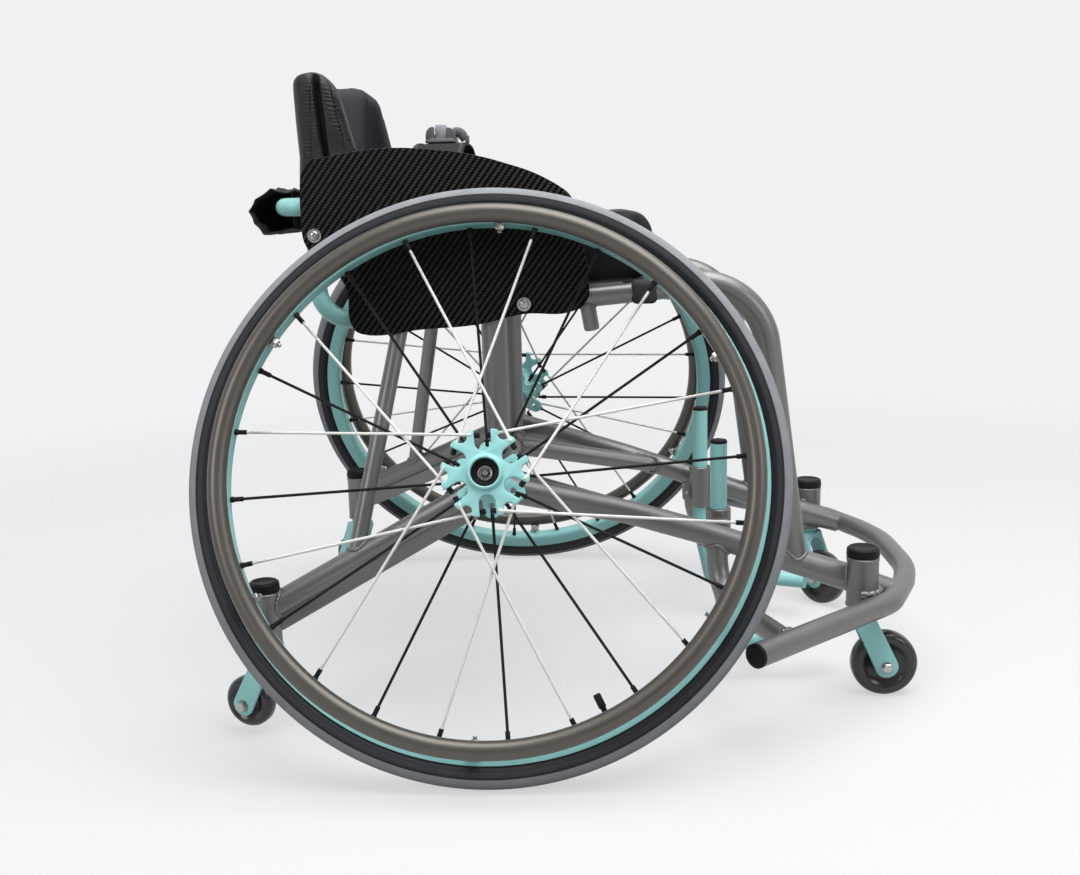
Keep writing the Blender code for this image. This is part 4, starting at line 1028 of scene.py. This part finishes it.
def frame_members():
    """Label, solid and parts of each member of one side. It carries the weld beads of its own ends."""
    bar, rail, tail = BAR_LINE, leg(RAIL_PATH, 0, 0.011), leg(TAIL_TUBE, 0, 0.0125)
    foot = Vector(TAIL_TUBE[0][:3]).lerp(Vector(TAIL_TUBE[1][:3]), 0.62)
    yield "lower_tube", "side_tube", (
        pipe(SIDE_TUBE),
        pipe(BRACE_PATH),
        sleeve(FRONT_PIVOT, 0.0175, 0.104, 0.161),
        barrel_bead(),
        weld(leg(SIDE_TUBE, 2, 0.0150), upright(FRONT_PIVOT, 0.0175)),
        weld(leg(BRACE_PATH, 0, 0.0112), leg(SIDE_TUBE, 1, 0.0134)),
        weld(leg(BRACE_PATH[::-1], 0, 0.0124), bar),
    )
    barrel = sleeve(REAR_PIVOT, 0.0155, 0.100, 0.162)
    yield "tail_tube", "rear_member", (
        pipe(TAIL_TUBE), rear_web(), barrel, weld(tail, upright(REAR_PIVOT, 0.0155), 0.0022)
    )  # fmt: skip
    bead = weld(leg(RAIL_PATH, 2, 0.014), leg(SIDE_TUBE, 2, 0.0148), 0.0021)
    yield "top_rail", "seat_rail", (pipe(RAIL_PATH), stub(), bead)
    beads = weld(leg(POST_PATH, 0, 0.0139), rail), weld(leg(POST_PATH[::-1], 0, 0.0139), bar)
    yield "post", "seat_post", (pipe(POST_PATH), *beads)
    beads = weld((STRUT_TOP, foot, 0.009), tail), weld((foot, STRUT_TOP, 0.009), rail)
    yield "tail_strut", "rear_strut", (pipe([(*STRUT_TOP, 0.009, 0), (*foot, 0.009, 0)]), *beads)
    yield "wing_tube", "wing_strut", (
        pipe(WING_PATH),
        weld(leg(WING_PATH[1::-1], 0, 0.0120), leg(SIDE_TUBE, 2, 0.0138)),
        weld(leg(WING_PATH, 1, 0.0120), leg(BUMPER_HALF, 2, 0.0125)),
    )


def dress_frame():
    parts = [pipe([(0, -0.155, CROSSBAR_Z, 0.016, 0), (0, 0.155, CROSSBAR_Z, 0.016, 0)], 40)]
    parts += [moved(camber_socket(), wheel_frame(side)) for _, side in SIDES]
    for _, side in SIDES:
        socket = (axle_point(-0.04, side), axle_point(-0.112, side), 0.0131)
        parts.append(weld(socket, leg([(x, side * y, z) for x, y, z, *_ in SIDE_TUBE], 0, 0.0163)))
    put(joined(*parts), "cross_axle", "grey", ["axle_crossbar"])
    for name, side in SIDES:
        for label, solid, parts in frame_members():
            put(mirrored(joined(*parts), side), f"{name}_{label}", "grey", [f"{name}_{solid}"])
        strap = block((0.150, -0.0135, -0.0128), (0.178, 0.0135, 0.0128), 0.006, 4)
        put(mirrored(moved(strap, shift(0, RAIL_Y, 0.4585)), side), f"{name}_rail_strap", "nylon")
        before, end = (Vector(corner[:3]) for corner in BUMPER_HALF[-2:])
        plug = turned(40, 0, 0, 12.6, 0, 12.6, 2.6, 11.6, 3.8, 8.0, 4.2, 7.0, 3.4, 0, 3.4)
        plug = mirrored(moved(plug, between(end, end + (end - before))), side)
        put(plug, f"{name}_bumper_plug", "plastic", [f"{name}_bumper_cap"])
    put(pipe(both_halves(BUMPER_HALF), 32), "bumper_hoop", "grey", ["front_bumper"])
    bow = pipe(both_halves(BOW_HALF))
    canes = [pipe([(CANE_X, side * CANE_Y, z, 0.0058, 0) for z in (0.515, 0.672)]) for _, side in SIDES]
    put(joined(bow, *canes), "back_bow", "mint", ["back_frame"])


# Footrest

LEG_X, LEG_Y = 0.250, 0.111
FOOT_BAR_X, FOOT_BAR_Z = 0.300, 0.0434


def bolt_head(radius, height):
    """Domed head on a thin washer, with a hexagon socket."""
    shares = (
        (0, 0), (1.40, 0), (1.45, 0.08), (1.42, 0.32), (1.22, 0.34), (1.16, 0.10), (1.0, 0.10), (0.97, 0.45),
        (0.86, 0.74), (0.62, 0.94), (0.36, 1.0), (0, 1.0),
    )  # fmt: skip
    hollow = ((0, 0.55), (0.27, 0.55), (0.27, 1.2), (0, 1.2))
    head, socket = ([(radius * across, height * up) for across, up in shape] for shape in (shares, hollow))
    return carved(lathe(head, 36), lathe(socket, 6))


def dress_footrest():
    legs = [[(x, side * y, *rest) for x, y, *rest in FOOT_LEG] for _, side in SIDES]
    parts = [pipe(path) for path in legs]
    parts.append(pipe([(FOOT_BAR_X, side * LEG_Y, FOOT_BAR_Z, 0.00925, 0) for _, side in SIDES]))
    for path, (_, side) in zip(legs, SIDES):
        half = ((FOOT_BAR_X, 0, FOOT_BAR_Z), (FOOT_BAR_X, side, FOOT_BAR_Z), 0.0092)
        parts.append(weld(half, leg(path, 2, 0.0098), 0.0018))
    put(joined(*parts), "foot_frame", "mint", ["footrest"], "footrest_slider")
    for name, side in SIDES:
        cap = turned(36, 0, 0, 9.8, 0, 9.8, 1.8, 8.8, 3.6, 6.0, 4.2, 0, 4.3)
        place = shift(LEG_X, side * LEG_Y, 0.2812)
        put(cap, f"{name}_leg_cap", "plastic", [f"{name}_footrest_cap"], "footrest_slider", place)
        ring = turned(48, 10.4, 151, 13.4, 151, 14.2, 151.8, 14.2, 204.2, 13.4, 205, 10.4, 205)
        slit = block((0.2300, 0.1100, 0.150), (0.2420, 0.1120, 0.206))
        ring = carved(moved(ring, shift(LEG_X, LEG_Y, 0)), slit)
        lug = block((0.242, 0.1235, 0.164), (0.258, 0.142, 0.198), 0.003, 3)
        ears = [block((0.2268, y, 0.160), (0.2375, y + 0.0042, 0.180), 0.0012) for y in (0.1061, 0.1117)]
        collar = mirrored(joined(ring, lug, *ears), side)
        put(collar, f"{name}_clamp_collar", "grey", [f"{name}_footrest_collar"])
        bolt = joined(bolt_head(0.0036, 0.0026), rod(0.0018, -0.0140, 0.001))
        place = shift(0.2315, side * 0.1160, 0.170) @ spin(-side * QUARTER, "X")
        put(bolt, f"{name}_clamp_bolt", "steel", matrix=place)


# Casters


def fork(trail, drop, leg_width, wheel_width, stem_length):
    """Cast fork with a bridge, two tapered legs with round feet, and its stem."""
    inner_half = wheel_width / 2 + 0.002
    outer_half = inner_half + 0.004
    half = leg_width / 2
    foot = Vector((trail, -drop))
    lean = foot.normalized()
    across = Vector((-lean.y, lean.x))
    outline = []
    for step in range(17):
        swing = pi + step * pi / 16
        outline.append(foot + across * half * cos(swing) - lean * half * sin(swing))
    crown = [(half, -0.006), (half - 0.001, -0.002), (half - 0.004, 0.0)]
    outline += crown + [(-x, z) for x, z in reversed(crown)]
    body = moved(plate(outline, -outer_half, outer_half), spin(QUARTER, "X"))
    arch = [polar(inner_half, step * pi / 12) for step in range(13)]
    arch = [(y, z - 0.0085 - inner_half) for y, z in arch]
    arch += [(-inner_half, -drop - leg_width), (inner_half, -drop - leg_width)]
    gap = moved(plate(arch, -0.1, 0.1), spin(QUARTER, "Z") @ spin(QUARTER, "X"))
    body = rounded(carved(body, gap), 0.0014, 3)
    return joined(body, rod(0.0060, -0.003, stem_length), rod(0.0120, 0.0006, 0.0050, 0.0008, 40))


def caster_wheel(radius, width):
    """Wide rounded tread round a smooth dished centre with a bearing boss."""
    lip, edge = radius * 0.66, -width / 2
    outline = [
        (0.0047, edge + 0.0004), (0.0094, edge + 0.0004), (0.0102, edge + 0.0012), (0.0112, edge + 0.0032),
        (0.0130, edge + 0.0046), (lip - 0.0045, edge + 0.0044), (lip - 0.0010, edge + 0.0022),
        (lip + 0.0012, edge + 0.0004), (lip + 0.0030, edge), (radius - 0.0060, edge),
        (radius - 0.0034, edge + 0.0010), (radius - 0.0013, edge + 0.0034), (radius - 0.0003, edge * 0.45),
    ]  # fmt: skip
    return lathe(outline + [(radius, 0.0)] + [(place, -height) for place, height in reversed(outline)], 72)


def cross_bolt(wheel_width):
    """Axle bolt: hexagon head and nut, each on a toothed washer, with the thread's end standing out."""
    seat = wheel_width / 2 + 0.0063
    bolt = rod(0.0039, -seat - 0.0058, seat + 0.0036, 0.0005, 24)
    teeth = [polar(0.0066 if k % 2 else 0.0057, k * pi / 12) for k in range(24)]
    head = joined(turned(6, 0, 0.8, 5.2, 0.8, 5.8, 1.3, 5.8, 4.1, 5.0, 4.9, 0, 4.9), plate(teeth, 0.0, 0.0009))
    return joined(bolt, moved(twin(head), shift(0, 0, seat)), moved(head, shift(0, 0, -seat) @ spin(pi, "X")))


def barrel_cap(radius, height):
    """Black cap with a turned-down rim and a shallow dish on top."""
    outline = [
        (0, 0), (radius - 0.0006, 0), (radius + 0.0004, 0.0008), (radius + 0.0008, 0.0024),
        (radius + 0.0002, height - 0.0020), (radius - 0.0016, height - 0.0003), (radius - 0.0034, height),
        (radius - 0.0052, height - 0.0012), (0, height - 0.0018),
    ]  # fmt: skip
    return lathe(outline, 56)


CASTERS = (
    # End, pivot, barrel's foot, top and radius, trail, wheel's radius and width, leg's width, rest turns
    ("front", FRONT_PIVOT, 0.104, 0.161, 0.0175, 0.026, 0.037, 0.0230, 0.026, (0.0, radians(-50.0))),
    ("rear", REAR_PIVOT, 0.100, 0.162, 0.0155, -0.0265, 0.028, 0.0200, 0.0245, (radians(-20.0), radians(-45.0))),
)
AXLE_HEIGHT = 0.037


def dress_casters():
    """Each caster rests turned as it last rolled."""
    for end, pivot, low, high, barrel_radius, trail, radius, width, leg_width, turns in CASTERS:
        crown = low - 0.0055
        for (name, side), turn in zip(SIDES, turns):
            label, swivel = f"{end}_{name}_caster", f"{end}_{name}_swivel"
            stand = shift(pivot[0], side * pivot[1], 0) @ spin(turn, "Z")
            piece = fork(abs(trail), crown - AXLE_HEIGHT, leg_width, width, high - crown - 0.004)
            if trail < 0:
                piece = moved(piece, spin(pi, "Z"))
            put(piece, f"{label}_yoke", "mint", [f"{label}_fork"], swivel, stand @ shift(0, 0, crown))
            axle = stand @ shift(trail, 0, AXLE_HEIGHT) @ spin(-side * QUARTER, "X")
            wheel = caster_wheel(radius, width)
            put(wheel, f"{label}_tread", "caster", [f"{label}_wheel"], f"{end}_{name}_roller", axle)
            put(cross_bolt(width), f"{label}_axle_bolt", "steel", [f"{label}_bolt"], swivel, axle)
            top = shift(pivot[0], side * pivot[1], high + 0.0003)
            put(barrel_cap(barrel_radius, 0.011), f"{label}_top_cap", "plastic", [f"{label}_cap"], matrix=top)


# Side guards

GUARD_OUTLINE = rows(
    2,
    -200.8, 570, -198.5, 590, -191.5, 603, -171, 607.8, -136, 613.2, -103, 615.5, -66, 613.5,
    -22, 607.5, 13.5, 598.5, 63, 579, 83.5, 563, 99, 510.5, 104, 475.5, 102, 451, 89.5, 441,
    32.5, 438, -15, 428, -73.5, 424, -142, 420, -151, 426, -158, 473.5, -198, 516.5, -201.2, 545,
)  # fmt: skip


def guard_plate():
    """Thin laminate with a smooth outline, its edge polished round."""
    curve = new_curve(
        "guard",
        dimensions="2D",
        fill_mode="BOTH",
        extrude=0.0007,
        bevel_depth=0.0003,
        bevel_resolution=2,
        resolution_u=8,
    )
    line = curve.splines.new("BEZIER")
    line.bezier_points.add(len(GUARD_OUTLINE) - 1)
    line.use_cyclic_u = True
    for point, (x, z) in zip(line.bezier_points, GUARD_OUTLINE):
        point.co = (x, z, 0)
        point.handle_left_type = point.handle_right_type = "AUTO"
    return moved(meshed(curve), spin(QUARTER, "X"))


def dress_guards():
    for name, side in SIDES:
        place = shift(0, side * (GUARD_FACE - 0.001), 0)
        put(guard_plate(), f"{name}_guard", "carbon", [f"{name}_side_guard"], matrix=place)
        places = [shift(x, side * GUARD_FACE, z) for x, z in ((-0.188, 0.5265), (0.0345, 0.4485))]
        heads = [moved(bolt_head(0.0052, 0.0040), place @ spin(-side * QUARTER, "X")) for place in places]
        put(joined(*heads), f"{name}_guard_bolts", "steel")


# Upholstery

SLING_TOP = 0.6995
SLING_FOOT = 0.530
SLING_HALF = 0.0118
WING_MIDDLE = 0.6125
LEFT_SEAM_BACK = 0.0065


def clamped(value, low=0.0, high=1.0):
    return max(low, min(high, value))


def skinned(rings, name, ends=True):
    """A mesh over closed rings of equal count, its first and last ring filled if asked."""
    shape = bmesh.new()
    loops = [[shape.verts.new(point) for point in ring] for ring in rings]
    for near, far in zip(loops, loops[1:]):
        for k, corner in enumerate(near):
            shape.faces.new((corner, near[k - 1], far[k - 1], far[k]))
    if ends:
        shape.faces.new(loops[0])
        shape.faces.new(loops[-1])
    bmesh.ops.recalc_face_normals(shape, faces=shape.faces)
    mesh = bpy.data.meshes.new(name)
    shape.to_mesh(mesh)
    shape.free()
    return linked(name, mesh)


def sling_track(wing_steps, bend_steps, back_steps):
    """Plan of the sling's middle line from the left wing's front round the back.

    A row is x, y, the way out in x and in y, and the share of the full thickness.
    """
    side_y, rear_x, radius, front, edge = 0.1547, -0.1930, 0.0070, -0.1368, 0.009
    track = []
    for step in range(5):
        swing = radians(8.0 + step * 17.0)
        track.append((front - edge + edge * cos(swing), side_y, 0.0, 1.0, sin(swing) ** 0.8))
    reach = front - edge - rear_x - radius
    track += [(front - edge - reach * k / wing_steps, side_y, 0.0, 1.0, 1.0) for k in range(wing_steps)]
    for step in range(bend_steps + 1):
        out_x, out_y = polar(1.0, QUARTER * (1 + step / bend_steps))
        track.append((rear_x + radius * (1 + out_x), side_y - radius * (1 - out_y), out_x, out_y, 1.0))
    inner_y = side_y - radius
    track += [(rear_x, inner_y * (1 - k / back_steps), -1.0, 0.0, 1.0) for k in range(1, back_steps + 1)]
    return track + [(x, -y, out_x, -out_y, thick) for x, y, out_x, out_y, thick in reversed(track[:-1])]


def sling(wing_steps, bend_steps, back_steps, inner_steps, outer_steps):
    """Padded back sling with rounded tops and slanted wing fronts. The left wing stands a little higher."""
    rings = []
    quarter = [(cos(k * pi / 12), sin(k * pi / 12)) for k in range(7)]
    for x, y, out_x, out_y, thick in sling_track(wing_steps, bend_steps, back_steps):
        half = SLING_HALF * thick
        inner_half = min(half, 0.0057 + 0.6 * max(0.0, x + 0.1860, 0.1477 - abs(y)))
        forward = max(0.0, (x + 0.183) / 0.0462)
        left = clamped(y / 0.15)
        back, slant = 0.0085 * left * forward, -0.275 + 0.042 * left
        fall = (1 - left) * 0.020 * forward**3
        fall += left * 0.0225 * (max(0.0, x - 0.0289 * forward + 0.2) / 0.0365) ** 2.2
        raised = 0.0125 * clamped((y + 0.12) / 0.24)
        top = SLING_TOP + raised - 0.010 * (1 - abs(y) / 0.167) ** 0.7 - fall - 0.008 * (1 - thick)
        crown = top - SLING_HALF
        rise = crown - SLING_FOOT
        section = [(-inner_half, SLING_FOOT + rise * step / inner_steps) for step in range(inner_steps)]
        section += [(-inner_half * across, crown + SLING_HALF * up) for across, up in quarter]
        section += [(half * up, crown + SLING_HALF * across) for across, up in quarter[1:]]
        section += [(half, crown - rise * step / outer_steps) for step in range(1, outer_steps + 1)]
        lean = slant * forward
        rings.append([(x - back + out_x * out + lean * (z - WING_MIDDLE), y + out_y * out, z) for out, z in section])
    return skinned(rings, "sling")


def channel_x(z):
    """Where the deep channel runs down a wing, in front of the cane's pocket."""
    return -0.1718 - 0.094 * (z - WING_MIDDLE)


def pocket_x(z):
    """Where the stitch row of the cane's pocket runs."""
    return -0.1878 + 0.050 * (z - WING_MIDDLE)


def seam_x(z):
    """Where the front stitch row runs down the right wing, following its slanted edge."""
    return -0.1504 - 0.190 * (z - WING_MIDDLE)


def edge_x(z, side):
    """Where the piping runs down the front of a wing. The left wing ends further back."""
    foot, slope = (-0.1392, 0.265) if side < 0 else (-0.1477, 0.223)
    return foot - slope * (z - WING_MIDDLE)


def dent(distance, width, power=2):
    return exp(-((abs(distance) / width) ** power))


def sew_sling(piece):
    """Press the channel, the stitch rows and their gathers into the outer faces of the wings.

    Beside the guards, the leather stays inside them.
    """
    for vert in piece.data.vertices:
        x, y, z = vert.co
        side = 1 if y > 0 else -1
        outer = clamped((abs(y) - 0.1560) / 0.006)
        if outer == 0.0:
            continue
        fade = clamped((0.6935 - z) / 0.012) ** 0.5
        channel = dent(x - channel_x(z), 0.0037, 2.6) * fade
        front = x - seam_x(z) + (LEFT_SEAM_BACK if side > 0 else 0.0)
        rear = x - pocket_x(z)
        depth = 0.0125 * channel + 0.0017 * dent(front, 0.0015) + 0.0013 * dent(rear, 0.0016)
        depth -= 0.0016 * dent(x - channel_x(z) - 0.0085, 0.0060) * fade
        wander = 0.7 * sin(z * 310) + 0.5 * sin(z * 173 + 2.0)
        waves = sin(z * 1750 + wander + 60 * rear) + 0.4 * sin(z * 2900 + 2 * wander)
        gathers = 0.00068 * waves * dent(rear, 0.0090)
        slid = z - (0.75 * max(0.0, front) - 0.15 * min(0.0, front))
        waves = sin(slid * 1500 + wander) + 0.4 * sin(slid * 2700 + 2 * wander)
        gathers += 0.00082 * waves * dent(front, 0.0095)
        uneven = 0.62 + 0.38 * sin(z * 211 + 900 * x) * sin(z * 127 - 500 * x + 1.0)
        depth += gathers * uneven * (1 - channel) * min(1.0, fade * 1.2)
        room = GUARD_INNER - 0.0006 + 0.0030 * clamped((z - 0.616) / 0.025)
        vert.co.y = side * min(abs(y) - outer * depth, room)
    return piece


def stitch_row(points, lift):
    """Short sewn stitches along a row of points, each a rounded stub lying on the leather."""
    stubs = []
    for first, second in zip(points[::2], points[1::2]):
        stub = turned(6, 0, 0, 0.3, 0.1, 0.42, 0.6, 0.42, 2.0, 0.3, 2.5, 0, 2.6)
        stubs.append(moved(stub, shift(0, lift, 0) @ between(first, second)))
    return joined(*stubs)


def on_surface(piece, x, z, side):
    """The point of the piece's outer face at a place of its side view."""
    found, place, _, _ = piece.ray_cast(Vector((x, side * 0.3, z)), Vector((0, -side, 0)))
    return Vector((x, place.y if found else side * 0.166, z))


def dress_back():
    blown = subdivided(puffed(sling(14, 6, 24, 24, 36), 0.0045, 3.0, 0.0022))
    pad = modified(sling(46, 12, 44, 40, 220), "SHRINKWRAP", target=blown)
    bpy.data.objects.remove(blown)
    pad = sew_sling(outward(pad))
    stitches = []
    for _, side in SIDES:
        for line, back in ((seam_x, LEFT_SEAM_BACK if side > 0 else 0.0), (pocket_x, 0.0)):
            heights = [0.604 + 0.0017 * step for step in range(46)]
            points = [on_surface(pad, line(z) - back, z, side) for z in heights]
            stitches.append(stitch_row(points, side * 0.0001))
    put(joined(*stitches), "sling_stitches", "thread")
    for name, side in SIDES:
        path = [on_surface(pad, edge_x(z, side), z, side) for z in (0.540 + 0.0085 * k for k in range(16))]
        path = [(x, y + side * 0.0002, z, 0.0010, 0) for x, y, z in path]
        put(pipe(path, 12), f"{name}_wing_piping", "piping")
    put(pad, "back_sling", "sling", ["back_upholstery"], smooth=80.0)


POUCH_HALF = 0.136
POUCH_X, POUCH_Z = -0.225, 0.557


def dress_pouch():
    """Nylon sleeve folded over the lateral bar, with creased corners and limp open mouths."""
    corners = rows(
        2, -42.5, -3.5, -34.5, 9.5, -16, 21.5, -1.5, 17, 8.5, 18, 9.5, 2, 9, -24, -8, -27.5, -27, -30, -37, -17
    )  # fmt: skip
    rings = []
    for step in range(61):
        y = POUCH_HALF * (2 * step / 60 - 1)
        mouth = dent(abs(y) - POUCH_HALF, 0.012)
        ring = []
        for k, corner in enumerate(corners):
            start, after = Vector(corner), Vector(corners[(k + 1) % len(corners)])
            for share in (part / 6 for part in range(6)):
                here = start + (after - start) * share
                wave = 0.0016 * sin(step * 0.42 + 1.9 * k) + 0.0008 * sin(step * 1.1 + 2.7 * k + 4 * share)
                here *= 1 + (wave * (1 - mouth) - 0.0012 * sin(pi * share)) / here.length
                ring.append((POUCH_X + min(here.x, 0.0095), y, POUCH_Z + here.y))
        rings.append(ring)
    piece = modified(skinned(rings, "pouch", ends=False), "SOLIDIFY", thickness=0.0016, offset=-1.0)
    put(subdivided(piece), "back_sleeve", "nylon", ["back_pouch"], smooth=50.0)


SEAT_MIDDLE = 0.0065


def rail_height(x):
    """Height of the seat rails' middle line."""
    return 0.434 + 0.08413 * (x + 0.130)


def dress_seat():
    """Crowned seat cushion with a rolled front edge and a seam round its side."""
    clear_selection()
    bpy.ops.mesh.primitive_cube_add(size=2.0)
    piece = bpy.context.object
    editing((bpy.ops.mesh.subdivide, {"number_cuts": 11}))
    for vert in piece.data.vertices:
        u, v, w = vert.co
        share = (w + 1) / 2
        pull = 1.0 - 0.045 * abs(w) ** 4 - 0.020 * (u * v) ** 2
        crown = share * (0.012 * (1 - max(abs(u), abs(v)) ** 5) + 0.0125 * max(0.0, u) ** 4)
        roll = 0.006 * max(0.0, u) ** 6 * (1 - w * w)
        rest = rail_height(SEAT_MIDDLE + u * 0.169) + 0.0125
        vert.co = (SEAT_MIDDLE + u * 0.169 * pull + roll, v * 0.160 * pull, rest + share * 0.058 + crown)
    pad = puffed(piece, 0.006, 4.0, 0.004)
    for vert in pad.data.vertices:
        x, y, z = vert.co
        rest = rail_height(x) + 0.0115
        out = Vector((x - SEAT_MIDDLE, y))
        if out.length > 0.12:
            seam = out.normalized() * dent(z - rest - 0.030, 0.0016) * 0.0014
            x, y = x - seam.x, y - seam.y
        vert.co = (clamped(x, -0.1660, 0.1800), clamped(y, -0.1652, 0.1652), max(z, rest))
    pad = put(subdivided(pad), "seat_pad", "leather", ["seat_cushion"], smooth=80.0)


# Lap belt

BELT_HALF = 0.1662
BELT_FOOT = 0.520


def strap(x_low, x_high, lift, thick):
    """A band of webbing that follows the arch over the lap."""
    shares = [-1 + 2 * step / 72 for step in range(73)]
    rise = BELT_TOP - BELT_FOOT
    high = [(BELT_HALF * k, BELT_FOOT + rise * (1 - abs(k) ** 3.2) + lift) for k in shares]
    low = [(y * (1 - (thick + lift) / BELT_HALF), z - thick) for y, z in high]
    piece = plate(high + low[::-1], x_low, x_high, thick * 0.3, 2)
    return moved(piece, spin(QUARTER, "Z") @ spin(QUARTER, "X"))


def buckle_housing(seat):
    """Moulded base, walls and cheeks, with the lever's pin, a toothed sill and a clip for the strap's end."""
    cheeks = (
        rows(2, -83.5, 1.5, -74, 1.5, -74, 19.6, -76.5, 19.4, -80, 17.8, -82.5, 14.5, -83.6, 10),
        rows(2, -59, 1.5, -47.8, 1.5, -47.8, 11, -49.5, 15, -53, 17.5, -56.5, 18.2, -59, 18.2),
    )
    on_belt = shift(0, 0, seat) @ spin(QUARTER, "X")
    teeth = block((-0.076, -0.0330, seat + 0.0030), (-0.054, -0.0315, seat + 0.0046), 0.0003, 1)
    return joined(
        block((-0.082, -0.035, seat), (-0.048, 0.035, seat + 0.0035), 0.0012, 3),
        block((-0.082, -0.0160, seat + 0.001), (-0.079, 0.0130, seat + 0.0135), 0.0012, 3),
        block((-0.051, -0.0160, seat + 0.001), (-0.048, 0.0130, seat + 0.0135), 0.0012, 3),
        *[moved(plate(shape, 0.0055, 0.0175, 0.0014, 3), on_belt) for shape in cheeks],
        block((-0.0800, -0.0185, seat + 0.0015), (-0.0500, -0.0120, seat + 0.0062), 0.0016, 3),
        moved(rod(0.0017, -0.0815, -0.0485, 0.0003, 20), shift(0, 0, seat + 0.009) @ spin(QUARTER, "Y")),
        repeated(teeth, [shift(0, 0.0026 * k, 0) for k in range(5)]),
        block((-0.0372, -0.0170, seat - 0.0002), (-0.0330, -0.0030, seat + 0.0088), 0.0012, 3),
    )


def buckle_lever():
    """Wedge-shaped lever with a bore for its pin and a blade that lies on the strap."""
    shape = rows(2, -6.8, -3, 6.8, -3, 7.2, 6, 7.2, 11.2, 5.6, 14, -5.6, 14, -7.2, 11.2, -7.2, 6)
    face = moved(plate(shape, -0.0150, 0.0044, 0.0012, 3), spin(QUARTER, "X"))
    for vert in face.data.vertices:
        vert.co.z -= max(0.0, vert.co.y) / 0.0150 * 0.55 * max(0.0, vert.co.z)
    eye = moved(rod(0.0023, -0.05, 0.05, 0.0001, 20), spin(QUARTER, "Y"))
    return joined(carved(face, eye), block((-0.0132, 0.0050, -0.0028), (0.0132, 0.0340, 0.0034), 0.0016, 3))


def dress_belt():
    put(strap(-0.0925, -0.0335, 0.0, 0.0028), "lap_strap", "webbing", ["lap_belt"], smooth=40.0)
    edges = [strap(x, x + 0.004, 0.0009, 0.0012) for x in (-0.0905, -0.0395)]
    put(joined(*edges), "lap_strap_binding", "nylon", smooth=40.0)
    seat = BELT_TOP + 0.0003
    put(buckle_housing(seat), "buckle_housing", "moulding", ["buckle_body"])
    roll = pipe([
        (-0.0500, -0.0115, seat + 0.0125, 0.0058, 0),
        (-0.0430, -0.0115, seat + 0.0140, 0.0056, 0.008),
        (-0.0375, -0.0110, seat + 0.0035, 0.0048, 0),
    ], 24)  # fmt: skip
    put(roll, "strap_end_roll", "strap", smooth=40.0)
    place = shift(-0.0665, 0, seat + 0.009)
    put(buckle_lever(), "buckle_flap", "silver", ["buckle_lever"], "belt_lever", place)


# Studio


def shown_directly(graph):
    """1 for rays that show the backdrop itself, and 1 for those of them that reflections or glass send."""
    mirror = graph.rays("Is Glossy Ray").maths("MAXIMUM", graph.rays("Is Transmission Ray"))
    return mirror.maths("MAXIMUM", graph.rays("Is Camera Ray")), mirror


def studio_paper():
    """Pale seamless paper: it takes shadows near the chair and fades into the backdrop further out."""
    paper = Finish("studio_paper", (0.26, 0.26, 0.26), 1.0, Specular_IOR_Level=0.0, Emission_Strength=1.0)
    x, y, _ = paper.axes(paper.place())
    far = ((x * x + y * y) ** 0.5).step_up(0.75, 2.3)
    shown, _ = shown_directly(paper)
    paper.set("Base Color", paper.mix(far, (0.26, 0.26, 0.261), (0.0, 0.0, 0.0)))
    glow = paper.mix(far, (0.545, 0.548, 0.553), (0.876, 0.882, 0.890))
    paper.set("Emission Color", paper.mix(shown, (0.0, 0.0, 0.0), glow))
    return paper.material


def studio_sky():
    """White backdrop. Reflections see it too, dimmer on the side where the camera stands in a dark room."""
    world = bpy.data.worlds.new("studio")
    world.use_nodes = True
    sky = Graph(world.node_tree)
    _, y, _ = sky.axes(sky.node("TexCoord", out="Generated"))
    shown, mirror = shown_directly(sky)
    dim = mirror * (1.0 - sky.rays("Is Camera Ray")) * (1.0 - y.step_up(-0.55, 0.45)) * 0.62
    shade = sky.tree.nodes["Background"]
    sky.plug(shade.inputs["Strength"], 0.42 + 0.46 * shown - dim)
    shade.inputs["Color"].default_value = (0.995, 1.0, 1.01, 1.0)
    return world


def build_studio():
    """Pale seamless floor and backdrop, a wide overhead light and two soft side lights."""
    clear_selection()
    bpy.ops.mesh.primitive_plane_add(size=60.0, location=(0, 0, -0.0005))
    floor = bpy.context.object
    floor.name = "studio_floor"
    floor.data.materials.append(studio_paper())
    floor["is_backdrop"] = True
    bpy.context.scene.world = studio_sky()
    for label, place, aim, size, power in (
        ("overhead", (0.35, -0.35, 2.3), (0, 0, 0.2), 2.3, 66.0),
        ("near_left", (-1.9, -2.2, 1.6), (0, 0, 0.3), 1.2, 25.0),
        ("near_right", (2.2, -1.6, 1.3), (0, 0, 0.25), 1.0, 12.0),
    ):
        lamp = bpy.data.lights.new(label, "AREA")
        lamp.shape = "DISK"
        lamp.size = size
        lamp.energy = power
        holder = linked(label, lamp)
        holder.location = place
        holder.rotation_euler = (Vector(aim) - Vector(place)).to_track_quat("-Z", "Y").to_euler()


def build_camera():
    """Long lens at seat height on the sitter's right, looking slightly down."""
    yaw, pitch, roll = 0.03973, 0.19327, -0.02496
    lens = bpy.data.cameras.new("camera")
    lens.lens = 39.977
    lens.sensor_width = 36.0
    lens.clip_start = 0.05
    camera = linked("camera", lens)
    turn = spin(yaw, "Z") @ spin(QUARTER - pitch, "X") @ spin(roll, "Z")
    camera.matrix_world = shift(0.09953 + AXLE_X, -1.46109, 0.5552) @ turn
    bpy.context.scene.camera = camera


def main():
    bpy.context.scene.view_settings.view_transform = "Standard"
    mix_finishes()
    dress_wheels()
    dress_frame()
    dress_footrest()
    dress_casters()
    dress_guards()
    dress_back()
    dress_pouch()
    dress_seat()
    dress_belt()
    build_studio()
    build_camera()


main()
[[list(corner) for corner in box] for box in (cad_box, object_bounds())]
